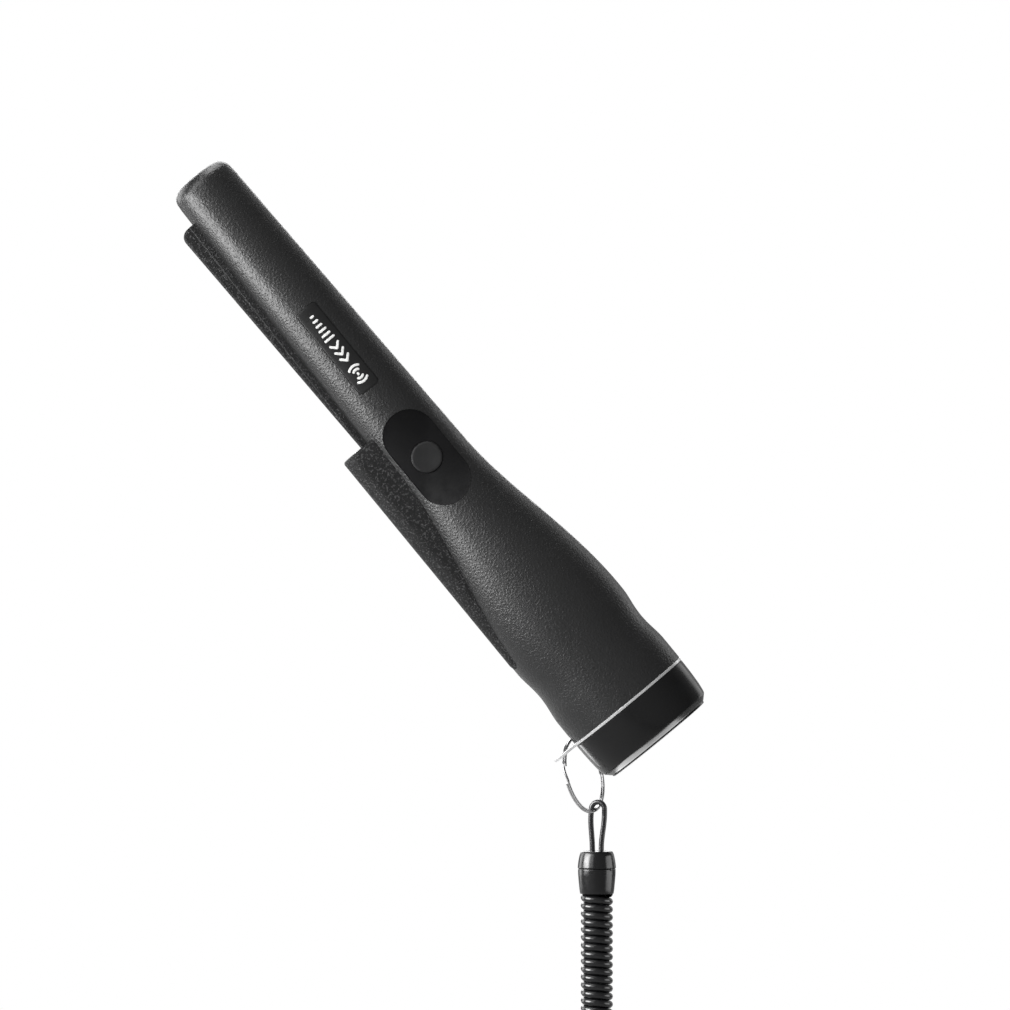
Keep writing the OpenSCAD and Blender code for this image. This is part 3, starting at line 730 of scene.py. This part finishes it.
def strap_curve(name, bend_z, direction):
    """Teardrop loop of cord; its legs run into the fitting below or above the bend."""
    half, radius, lean = 1.5, 2.25, 0.4
    legs = [(half, -STRAP_DROP - 1.5), (half, -STRAP_DROP), (half + 0.1, -STRAP_DROP * 0.75)]
    legs += [(radius - 0.1, -STRAP_DROP * 0.3)]
    pts = [(-x, z) for x, z in legs]
    for degrees in range(180, -1, -15):
        a = math.radians(degrees)
        pts.append((lean + radius * math.cos(a), radius * math.sin(a) - 0.15))
    pts += [(x + lean * (z > -5), z) for x, z in reversed(legs)]
    turn = Matrix.Rotation(STRAP_TURN, 4, "Z")
    bend = Vector((STRAP_POINT.x, STRAP_POINT.y, bend_z))
    points = [turn @ Vector((x, 0, z * direction)) + bend for x, z in pts]
    obj = cord_object(name, points, STRAP_D, "NURBS")
    obj.data.resolution_u = 8
    obj.data.use_fill_caps = True
    obj.data.splines[0].order_u = 3
    obj.data.splines[0].use_endpoint_u = True
    return obj


def add_fitting(which, end_z, flip):
    """Dome, sleeve and latch bead of an end fitting; heights run down from the strap's end."""
    dome = rounded(
        [(0, 0), (4.9, 0), (5.45, -1.2), (5.85, -3.2), (6.05, -5.1), (6.05, -5.42), (0, -5.42)],
        0.5,
    )
    sleeve = rounded(
        [(0, -5.5), (FITTING_R, -5.5), (5.95, -5.75), (5.93, -7.4), (FITTING_R, -9.6), (5.5, -12.2),
         (5.3, -FITTING_LEN), (4.9, -FITTING_LEN), (4.9, -12.5), (0, -12.5)],
        0.35,
    )
    end = WORLD @ Matrix.Translation((STRAP_POINT.x, STRAP_POINT.y, end_z))
    made = []
    for part, profile in (("dome", dome), ("sleeve", sleeve)):
        bm = lathe([(r, -h if flip else h) for r, h in profile], 72)
        obj = to_object(f"fitting_{which}_{part}_shell", bm, end)
        settle(obj, "lanyard", "gloss_black", [f"fitting_{which}_{part}"])
        made.append(obj)
    bead = rounded([(0, -0.45), (0.62, -0.45), (0.62, 0.25), (0.3, 0.5), (0, 0.5)], 0.2)
    place = (
        WORLD
        @ Matrix.Translation((STRAP_POINT.x, STRAP_POINT.y, end_z + (5.6 if flip else -5.6)))
        @ Matrix.Rotation(math.radians(-42), 4, "Z")
        @ Matrix.Translation((FITTING_R, 0, 0))
        @ Matrix.Rotation(math.radians(90), 4, "Y")
    )
    latch = to_object(f"fitting_{which}_latch_bead", lathe(bead, 20), place)
    settle(latch, "lanyard", "gloss_black")
    return made + [latch]


def add_lanyard():
    coil = add_coil()
    settle(coil, "lanyard", "cord_black", ["coil_cord"])
    carried = []
    for which, bend_z, direction in (("top", STRAP_POINT.z, 1), ("bottom", LOW_BEND_Z, -1)):
        strap = strap_curve(f"strap_{which}_cord", bend_z, direction)
        settle(strap, "lanyard", "strap_black", [f"strap_loop_{which}"])
        carried.append(strap)
    carried += add_fitting("top", FITTING_TOP_Z, False)
    carried += add_fitting("bottom", LOW_FITTING_Z, True)
    return coil, carried


# ---- probe body


def body_profile(inset, round_r, dome):
    """Rings of the body's outer or inner surface, from the tip to the tail."""
    rings = [[(0, 0, up(inset))]]
    flat = TIP_R - inset - round_r
    for r in (0.25, 0.5, 0.75, 0.95):
        rings.append(oval(flat * r, flat * r, inset + dome * r * r))
    for k in range(11):
        a = math.radians(86 - 8.6 * k)
        r = flat + round_r * math.cos(a)
        rings.append(oval(r, r, inset + dome + round_r * (1 - math.sin(a))))
    s = inset + dome + round_r + 1.5
    while s < BODY_LEN - 1:
        rings.append(oval(half_w(s) - inset, half_d(s) - inset, s))
        s += 1.5
    return rings


def stadium(half_len, half_width, y_from, y_to, s):
    """Prism with round ends, standing in the front of the body."""
    steps = 24
    end = half_len - half_width
    ring = []
    for k, middle in enumerate((end, -end)):
        for i in range(steps + 1):
            a = math.pi * i / steps + math.pi * k
            ring.append((half_width * math.cos(a), middle + half_width * math.sin(a)))
    return skin([[(x, y, up(s) + z) for x, z in ring] for y in (y_from, y_to)])


def label_grid(inset, lift):
    """Grid of points over the label's rounded outline, above or below the body's surface."""
    across, along = 14, 50
    half_l, half_v, corner = LABEL[0] / 2 - inset, LABEL[1] / 2 - inset, 1.0 - inset * 0.5
    rows = []
    for i in range(along + 1):
        u = -half_l + 2 * half_l * i / along
        over = max(0.0, abs(u) - (half_l - corner))
        v_max = half_v - corner + math.sqrt(max(0.0, corner**2 - over**2))
        row = []
        for j in range(across + 1):
            v = v_max * (-1 + 2 * j / across)
            s = LABEL_S + u
            row.append((v, front_y(v, s) - lift, up(s)))
        rows.append(row)
    return rows


def patch(rows_out, rows_in):
    """Closed thick patch between two grids of the same size."""
    bm = bmesh.new()
    a = [[bm.verts.new(p) for p in row] for row in rows_out]
    b = [[bm.verts.new(p) for p in row] for row in rows_in]
    n, m = len(a), len(a[0])
    for i in range(n - 1):
        for j in range(m - 1):
            bm.faces.new((a[i][j], a[i][j + 1], a[i + 1][j + 1], a[i + 1][j]))
            bm.faces.new((b[i][j], b[i + 1][j], b[i + 1][j + 1], b[i][j + 1]))
    for j in range(m - 1):
        bm.faces.new((a[0][j], b[0][j], b[0][j + 1], a[0][j + 1]))
        bm.faces.new((a[-1][j], a[-1][j + 1], b[-1][j + 1], b[-1][j]))
    for i in range(n - 1):
        bm.faces.new((a[i][0], a[i + 1][0], b[i + 1][0], b[i][0]))
        bm.faces.new((a[i][-1], b[i][-1], b[i + 1][-1], a[i + 1][-1]))
    bmesh.ops.recalc_face_normals(bm, faces=bm.faces)
    return bm


def add_body():
    outer = body_profile(0, TIP_ROUND, TIP_DOME)
    w, d = half_w(BODY_LEN), half_d(BODY_LEN)
    for inset, back in ((0.0, 0.5), (0.0, 0.09), (0.09, 0.0)):
        outer.append(oval(w - inset, d - inset, BODY_LEN - back))
    for grow, s in (
        (0.25, BODY_LEN),
        (0.07, BODY_LEN - 0.07),
        (0.0, BODY_LEN - 0.25),
        (0.0, MOUTH_START),
    ):
        outer.append(oval(MOUTH[0] + grow, MOUTH[1] + grow, s))
    inner = body_profile(WALL, 2.6, 0.1)
    inner = [ring for ring in inner if len(ring) == 1 or up(ring[0][2]) < MOUTH_START]
    step = WALL + 0.3
    inner.append(oval(half_w(MOUTH_START) - step, half_d(MOUTH_START) - step, MOUTH_START))
    shell = to_object("body_shell_moulded", skin(outer + inner[::-1]), PROBE)

    tools = [
        to_object("cut", stadium(DISH[0], DISH[1], -30, -4, DISH_S), PROBE),
        to_object("cut", patch(label_grid(0, 8), label_grid(0, -0.5)), PROBE),
    ]
    for across, along in ((0, 0), (1, 0), (-1, 0), (0, 1), (0, -1)):
        x, s = across * SOUND_PITCH, SOUND_S + along * SOUND_PITCH
        y = -front_y(x, s)
        bore = lathe(
            [(0, y - 5), (0.9, y - 5), (0.9, y - 0.3), (1.5, y + 0.4), (1.5, y + 3), (0, y + 3)],
            32,
        )
        bore.transform(Matrix.Rotation(math.radians(-90), 4, "X"))
        bore.transform(Matrix.Translation((x, 0, up(s))))
        tools.append(to_object("cut", bore, PROBE))
    combine(shell, tools, "DIFFERENCE")
    settle(shell, "probe", "shell_black", ["body_shell"], 30)


def pad_ring(s, inset):
    """Section of the wide pad, with two round corners, shrunk by an inset."""
    steps = 10
    half, reach = PAD_W / 2 - inset, PAD_REACH - inset
    ring = [(RAIL_ROOT_X, half), (RAIL_ROOT_X, 0.0), (RAIL_ROOT_X, -half)]
    for side in (-1, 1):
        for k in range(steps + 1):
            a = math.radians(90 * k / steps)
            a = a if side < 0 else math.radians(90) - a
            x = -(reach - PAD_CORNER + PAD_CORNER * math.sin(a))
            ring.append((x, side * (half - PAD_CORNER + PAD_CORNER * math.cos(a))))
    return [(x, y, up(s)) for x, y in ring]


def rib_ring(s, grown):
    """Section of the rib on its foot; grown runs from 0 at the nose to 1."""
    flank, foot, edge = 3.1, 3.75, 0.9
    low, high = RIB_REACH
    reach = low + (high - low) * (s - RIB_START) / (PAD[0] - RIB_START)
    reach = reach - RIB_NOSE * (1 - math.sin(math.radians(90 * grown)))
    step = min(tube_r(s) + 1.25, reach - 0.3)
    ring = [(RAIL_ROOT_X, foot), (RAIL_ROOT_X, -foot), (-(step - 0.25), -foot), (-step, -(foot - 0.25))]
    ring += [(-step - 0.02, -(flank + 0.1)), (-step - 0.15, -flank)]
    for k in range(6):
        a = math.radians(18 * k)
        ring.append((-(reach - edge + edge * math.sin(a)), -(flank - edge + edge * math.cos(a))))
    ring += [(x, -y) for x, y in reversed(ring[2:])]
    return [(x, y, up(s)) for x, y in ring]


def lamp_lathe(profile):
    """Turned shape on the lamp's line; the profile is (radius, distance from the pad's front)."""
    bm = lathe([(r, up(PAD[0] + back)) for r, back in profile], 48)
    bm.transform(Matrix.Translation((LAMP_X, 0, 0)))
    return bm


def add_rail():
    """Scraper rib and the wide pad behind it, moulded over the tube, and the lamp's lens."""
    start, end = PAD
    ends = [(start, 1.0), (start + 0.08, 0.62), (start + 0.3, 0.3), (start + 0.62, 0.08)]
    ends += [(start + 1.0, 0.0)] + [(start + 1 + k * 4.1, 0.0) for k in range(1, 20)]
    ends += [(end - 1.5, 0.0), (end, 0.4)]
    rail = to_object("scraper_rail_moulded", skin([pad_ring(*at) for at in ends]), PROBE)
    nose = [(1 - math.cos(math.radians(k * 11.25)), k / 8) for k in range(9)]
    stations = [(RIB_START + RIB_NOSE * share, grown) for share, grown in nose]
    stations += [(s, 1.0) for s in range(18, 104, 4)]
    combine(rail, [to_object("rib", skin([rib_ring(*at) for at in stations]), PROBE)], "UNION")

    core = [oval(half_w(s) - 0.8, half_d(s) - 0.8, s, 96) for s in range(1, 212, 2)]
    seat, mouth = LAMP_R + 0.06, LAMP_R + 0.5
    bore = lamp_lathe(
        [(0, 11), (2.0, 11), (2.0, 1.6), (seat, 1.6), (seat, 0.3), (mouth, -0.2), (mouth, -3), (0, -3)]
    )
    tools = [to_object("cut", bm, PROBE) for bm in (skin(core), bore)]
    combine(rail, tools, "DIFFERENCE")
    settle(rail, "probe", "rail_black", ["scraper_rail"], 32)
    lens = lamp_lathe(
        [(0, 1.6), (LAMP_R, 1.6), (LAMP_R, 0.55), (LAMP_R - 0.1, 0.4), (2.0, 0.12), (1.1, -0.12),
         (0.4, -0.2), (0, -0.21)]
    )
    settle(to_object("lamp_lens", lens, PROBE), "probe", "lens_clear", ["led_lens"], 50)


def add_label():
    gap = 0.16
    inlay = to_object("label_inlay", patch(label_grid(gap, 0.1), label_grid(gap, -0.5)), PROBE)
    soften(inlay, 0.06 * MM, 50)
    settle(inlay, "probe", "panel_black", ["label_panel"], 35)
    add_marks()


def add_marks():
    """Generic white marks: rising bars, three arrowheads, and a dot with waves."""
    strokes = []
    for k in range(6):
        u, h = -12.6 + 1.75 * k, 0.35 + 0.24 * k
        strokes.append([(u, -h), (u, h)])
    for k in range(3):
        u = -1.6 + 2.5 * k
        strokes += [[(u, side), (u + 1.5, 0)] for side in (-1.5, 1.5)]
    dot = 10.3
    for radius in (1.45, 2.85):
        for side in (0, 180):
            angles = [math.radians(side + a) for a in range(-38, 39, 2)]
            strokes.append([(dot + radius * math.cos(a), radius * math.sin(a)) for a in angles])
    strokes.append([(dot - 0.12, 0), (dot + 0.12, 0)])
    joined = bmesh.new()
    for k, stroke in enumerate(strokes):
        add_stroke(joined, stroke, 0.4, 0.002 * (k % 2))
    obj = to_object("label_marks", joined, PROBE)
    settle(obj, "probe", "panel_black", paint="print_white", smooth_angle=30)


def add_stroke(bm, stroke, half, lift):
    """Round-ended printed stroke laid on the label, a hair thick."""
    fine = [Vector(stroke[0])]
    for a, b in zip(stroke, stroke[1:]):
        parts = max(1, math.ceil((Vector(b) - Vector(a)).length / 0.3))
        fine += [Vector(a).lerp(Vector(b), k / parts) for k in range(1, parts + 1)]
    t0 = (fine[1] - fine[0]).normalized()
    t1 = (fine[-1] - fine[-2]).normalized()
    rows = []
    for k in range(6):
        a = math.radians(90 - 15 * k)
        rows.append((fine[0] - t0 * half * math.sin(a), t0, half * math.cos(a)))
    for before, at, after in zip(fine, fine[1:], fine[2:]):
        rows.append((at, (after - before).normalized(), half))
    for k in range(6):
        a = math.radians(15 + 15 * k)
        rows.append((fine[-1] + t1 * half * math.sin(a), t1, half * math.cos(a)))

    def lay(p, height):
        s = LABEL_S + p.x
        return (p.y, front_y(p.y, s) - height, up(s))

    levels = []
    for height in (0.06, 0.125 + lift, 0.135 + lift):
        grid = []
        for centre, t, width in rows:
            n = Vector((-t.y, t.x)) * max(0.01, width - (0.02 if height > 0.13 else 0))
            grid.append([bm.verts.new(lay(centre + n * side, height)) for side in (-1, 0, 1)])
        levels.append(grid)
    for grid, flip in ((levels[0], True), (levels[-1], False)):
        for a, b in zip(grid, grid[1:]):
            for j in (0, 1):
                face = (a[j], a[j + 1], b[j + 1], b[j])
                bm.faces.new(face[::-1] if flip else face)
    for low, high in zip(levels, levels[1:]):
        below, above = (
            g[0] + [r[2] for r in g[1:-1]] + g[-1][::-1] + [r[0] for r in g[-2:0:-1]]
            for g in (low, high)
        )
        for i in range(len(below)):
            j = (i + 1) % len(below)
            bm.faces.new((below[i], below[j], above[j], above[i]))
    bmesh.ops.recalc_face_normals(bm, faces=bm.faces)


def dish_edge(a):
    """Distance from the dish's centre to its stadium outline, at an angle."""
    half_l, half_v = DISH[0] - 0.06, DISH[1] - 0.06
    end = half_l - half_v
    c, q = math.cos(a), math.sin(a)
    if abs(c) > 1e-9 and abs(half_v / c * q) <= end:
        return half_v / abs(c)
    m = abs(q) * end
    return m + math.sqrt(max(0.0, m * m - end * end + half_v * half_v))


def add_dish():
    """Thumb dish round the button: a scooped inlay with a crisp outline."""
    sides = 128

    def ring(share, level):
        """Ring between the button's hole, share 0, and the outline, share 1."""
        out = []
        for i in range(sides):
            a = 2 * math.pi * i / sides
            r = (BUTTON_R + 0.08) * (1 - share) + dish_edge(a) * share
            x, z = r * math.cos(a), r * math.sin(a)
            out.append((x, level(x, DISH_S - z, r / dish_edge(a)), up(DISH_S - z)))
        return out

    def scoop(x, s, q):
        return front_y(x, s) + DISH_LIP + (DISH_DEPTH - DISH_LIP) * (1 - q * q) ** 0.9

    def rim(x, s, q):
        return front_y(x, s) + 0.2

    def bottom(x, s, q):
        return DISH_FLOOR_Y

    shares = (0, 0.02, 0.1, 0.2, 0.3, 0.4, 0.5, 0.6, 0.7, 0.8, 0.88, 0.94, 0.975, 0.99)
    rings = [ring(0, bottom)] + [ring(share, scoop) for share in shares]
    rings += [ring(1, rim), ring(1, bottom)]
    obj = to_object("thumb_dish", skin(rings, wrap=True), PROBE)
    settle(obj, "probe", "gloss_black", ["thumb_bezel"], 45, "dish_black")


def add_button():
    top, flange = BUTTON_TOP_Y, BUTTON_R + 0.8
    cap = [(0, top + 0.22), (1.5, top + 0.19), (3.0, top + 0.10), (4.1, top + 0.01), (4.5, top)]
    cap += [(4.8, top + 0.09), (4.95, top + 0.28), (BUTTON_R, top + 0.5), (BUTTON_R, -8.12)]
    cap += [(flange, -8.12), (flange, -7.32), (1.6, -7.32), (1.6, -4.05), (0, -4.05)]
    bm = lathe([(r, -y) for r, y in cap], 72)
    bm.transform(Matrix.Rotation(math.radians(90), 4, "X"))
    bm.transform(Matrix.Translation((0, 0, up(DISH_S))))
    obj = to_object("power_button_rubber", bm, PROBE)
    settle(obj, "button", "button_rubber", ["power_button"], 40)


# ---- battery cap, plate and ring


def add_cap():
    w, d = TAIL[0] - 0.1, TAIL[1] - 0.1
    rings = [[(0, 0, up(CAP_END - 0.15))]]
    for share, s in ((0.3, CAP_END - 0.12), (0.6, CAP_END - 0.05), (0.9, CAP_END)):
        rings.append(oval((w - 3.6) * share, (d - 3.6) * share, s))
    for inset, back in ((3.3, 0.0), (3.05, 0.04), (2.9, 0.16), (2.84, 0.5), (2.8, 0.62),
                        (2.6, 0.74), (2.2, 1.12), (1.6, 1.72), (1.15, 2.17), (0.96, 2.42),
                        (0.84, 2.7), (0.74, 3.1), (0.55, 4.2), (0.36, 5.7), (0.2, 8.0),
                        (0.06, 11.0), (0.0, 14.0), (0.0, 14.6), (0.06, 14.88), (0.28, 15.0)):
        rings.append(oval(w - inset, d - inset, CAP_END - back))
    fit = 0.15
    spigot = BODY_LEN - 8.5
    groove = spigot + 3.4
    boss = 213.98
    mw, md = MOUTH[0] - fit, MOUTH[1] - fit
    for inset, s in ((0.0, CAP_START), (0.0, groove + 1.8), (1.2, groove + 1.8), (1.2, groove),
                     (0.0, groove), (0.0, spigot + 0.5), (0.15, spigot + 0.15), (0.5, spigot),
                     (1.7, spigot), (2.0, spigot + 0.3), (2.0, CAP_END - 2.5)):
        rings.append(oval(mw - inset, md - inset, s))
    for r, s in ((6.5, CAP_END - 2.5), (6.5, 214.2), (6.2, boss), (3.0, boss)):
        rings.append(oval(r, r, s))
    rings.append([(0, 0, up(boss))])
    obj = to_object("battery_cap_moulded", skin(rings), PROBE)
    settle(obj, "cap", "gloss_black", ["battery_cap"], 32)


def plate_outline():
    """Oval of the plate with its round-ended tab."""
    w, d = TAIL[0] - 0.05, TAIL[1] - 0.05
    half = TAB_W / 2
    outline = [(x, y) for x, y in ellipse(w, d, 240) if not (x < 0 and abs(y) < half + 0.9)]
    start = next(i for i, (x, y) in enumerate(outline) if x < 0 and y < 0)
    outline = outline[start:] + outline[:start]
    x_join = -w * math.sqrt(1 - (half / d) ** 2)
    outline += [(x_join - 0.35, half + 0.3), (x_join - 1.2, half)]
    for a in [math.radians(degrees) for degrees in range(0, 181, 6)]:
        outline.append((half - TAB_REACH - half * math.sin(a), half * math.cos(a)))
    return outline + [(x_join - 1.2, -half), (x_join - 0.35, -half - 0.3)]


def add_plate():
    """Steel plate clamped between body and cap, with its tab and hole."""
    hole = [(TAB_HOLE[0] + x, y) for x, y in circle(TAB_HOLE[1], 56)]
    edge = 0.12
    data = bpy.data.curves.new("plate", "CURVE")
    data.dimensions = "2D"
    data.fill_mode = "BOTH"
    data.extrude = PLATE_T / 2 - edge
    data.bevel_depth = edge
    data.bevel_resolution = 2
    data.offset = -edge
    for loop in (plate_outline(), ellipse(*MOUTH, 160), hole):
        spline = data.splines.new("POLY")
        spline.points.add(len(loop) - 1)
        for point, (x, y) in zip(spline.points, loop):
            point.co = (x, y, 0, 1)
        spline.use_cyclic_u = True
    temp = bpy.data.objects.new("plate", data)
    scene.collection.objects.link(temp)
    bpy.context.view_layer.update()
    depsgraph = bpy.context.evaluated_depsgraph_get()
    mesh = bpy.data.meshes.new_from_object(temp.evaluated_get(depsgraph))
    bpy.data.objects.remove(temp)
    bm = bmesh.new()
    bm.from_mesh(mesh)
    bmesh.ops.remove_doubles(bm, verts=bm.verts, dist=0.001)
    bmesh.ops.recalc_face_normals(bm, faces=bm.faces)
    bm.transform(Matrix.Translation((0, 0, up(BODY_LEN + PLATE_T / 2))))
    obj = to_object("lanyard_plate_steel", bm, PROBE)
    settle(obj, "probe", "plate_steel", ["lanyard_plate"], 30)


def add_ring():
    """Split ring: two turns of flat wire with the crossing that joins them."""
    crossing = math.radians(262)
    jog = math.radians(26)
    total = 4 * math.pi - jog
    count = 300
    layer = 0.34
    wire = [(x * 0.5, y * 0.31) for x, y in rounded_square()]
    rings = []
    for i in range(count + 1):
        a = jog / 2 + total * i / count
        z = layer * (2 * smooth((a - (2 * math.pi - jog / 2)) / jog) - 1)
        a += crossing
        rings.append(
            [((RING_R + u) * math.sin(a), -(RING_R + u) * math.cos(a), z + v) for u, v in wire]
        )
    place = (
        Matrix.Translation(RING_CENTRE)
        @ Matrix.Rotation(-RING_LEAN, 4, "Y")
        @ Matrix.Rotation(RING_TURN, 4, "Z")
        @ Matrix.Rotation(math.radians(90), 4, "X")
    )
    obj = to_object("split_ring_wire", skin(rings), WORLD @ place)
    settle(obj, "ring", "ring_nickel", ["split_ring"], 40)


def rounded_square():
    """Square from -1 to 1 with large round corners."""
    steps, corner = 5, 0.8
    out = []
    for k, (sx, sy) in enumerate(((1, 1), (-1, 1), (-1, -1), (1, -1))):
        for i in range(steps + 1):
            a = math.radians(90 * k + 90 * i / steps)
            x, y = sx * (1 - corner) + corner * math.cos(a), sy * (1 - corner) + corner * math.sin(a)
            out.append((x, y))
    return out


# ---- swivel and clasp


def add_swivel():
    angles = [math.radians(a) for a in range(0, 360, 6)]
    eye_path = [(0, EYE_R * math.sin(a), EYE_R * math.cos(a)) for a in angles]
    eye = to_object("swivel_eye_wire", sweep(eye_path, lambda t: circle(0.8, 18), True), CLASP)
    post = rounded(
        [(0, -2.9), (1.5, -2.9), (1.75, -4.1), (1.25, -4.75), (1.25, -8.38), (2.0, -8.44),
         (2.0, -9.36), (0, -9.36)],
        0.12,
    )
    combine(eye, [to_object("post", lathe(post, 40), CLASP)], "UNION")
    settle(eye, "swivel", "clasp_nickel", ["swivel_eye"], 45)


def on_pin(profile, sides, side=0.0):
    """Turned shape on the gate pin's line, set off to one side."""
    bm = lathe(profile, sides)
    bm.transform(Matrix.Rotation(math.radians(90), 4, "X"))
    bm.transform(Matrix.Translation((PIN[0], side, PIN[1])))
    return to_object("on_pin", bm, CLASP)


def hook_section(t):
    """Nearly round section of the hook's bow: thin at its ends, with a knob at the tip."""
    r = 1.6 * (0.72 + 0.28 * min(1.0, math.sin(math.pi * min(1.0, t * 1.15 + 0.12)) * 1.6))
    if t > 0.93:
        r = 1.35 + (t - 0.93) * 3
    return [(u * 0.92, v) for u, v in circle(r, 20)]


def add_clasp():
    barrel = rounded(
        [(1.37, -5.2), (3.0, -5.2), (3.6, -5.9), (3.6, -7.0), (3.3, -7.25), (3.3, -7.75),
         (3.6, -8.0), (3.6, -11.4), (3.1, -12.35), (0, -12.4)],
        0.25,
    )
    inside = [(0, -9.48), (2.1, -9.48), (2.1, -8.32), (1.37, -8.28), (1.37, -5.2)]
    body = to_object("clasp_body_cast", lathe(inside + barrel[1:], 56), CLASP)
    angles = [math.radians(a) for a in range(-180, 84, 4)]
    path = [(HOOK_R * math.cos(a), 0, HOOK_Z + HOOK_R * math.sin(a)) for a in angles]
    ear = rounded([(0, -0.5), (2.0, -0.5), (2.0, 0.5), (0, 0.5)], 0.18)
    tools = [to_object("bow", sweep(path, hook_section), CLASP)]
    tools += [on_pin(ear, 36, side * 1.5) for side in (-1, 1)]
    combine(body, tools, "UNION")
    slot = on_pin([(0, -1.0), (2.1, -1.0), (2.1, 1.0), (0, 1.0)], 40)
    bore = on_pin([(0, -5), (0.6, -5), (0.6, 5), (0, 5)], 24)
    combine(body, [slot, bore], "DIFFERENCE")
    settle(body, "clasp", "clasp_nickel", ["clasp_body"], 40)


# ---- CAD nodes that are kept

CAD_ONLY = {
    "switch_plunger": "switch_ivory",
    "tact_switch": "switch_body",
    "led": "led_white",
    "main_pcb": "board_green",
    "pcb_components": "component_black",
    "chassis": "chassis_grey",
    "board_screws": "zinc_screw",
    "bulkhead_screws": "zinc_screw",
    "tip_cushion": "foam_grey",
    "ferrite_rod": "ferrite",
    "coil_former": "former_ivory",
    "transmit_winding": "copper",
    "receive_windings": "copper",
    "vibration_motor": "motor_steel",
    "motor_shaft": "motor_steel",
    "motor_weight": "motor_steel",
    "speaker": "speaker_brass",
    "speaker_gasket": "foam_grey",
    "battery": "battery_blue",
    "battery_terminals": "terminal_nickel",
    "battery_snap": "component_black",
    "red_lead": "wire_red",
    "black_lead": "wire_black",
    "battery_cushion": "foam_grey",
    "cap_gasket": "seal_black",
    "clasp_gate": "clasp_nickel",
    "gate_pin": "clasp_nickel",
    "gate_spring": "clasp_nickel",
}


def paint_cad_nodes():
    for name, slot in CAD_ONLY.items():
        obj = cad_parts[name]
        obj.data.materials.clear()
        obj.data.materials.append(MATS[slot])


add_camera()
add_room()
add_lamps()
add_floor()
coil, carried = add_lanyard()
add_body()
add_rail()
add_label()
add_dish()
add_button()
add_cap()
add_plate()
add_ring()
add_swivel()
add_clasp()
paint_cad_nodes()
aim_lamps([coil] + carried)
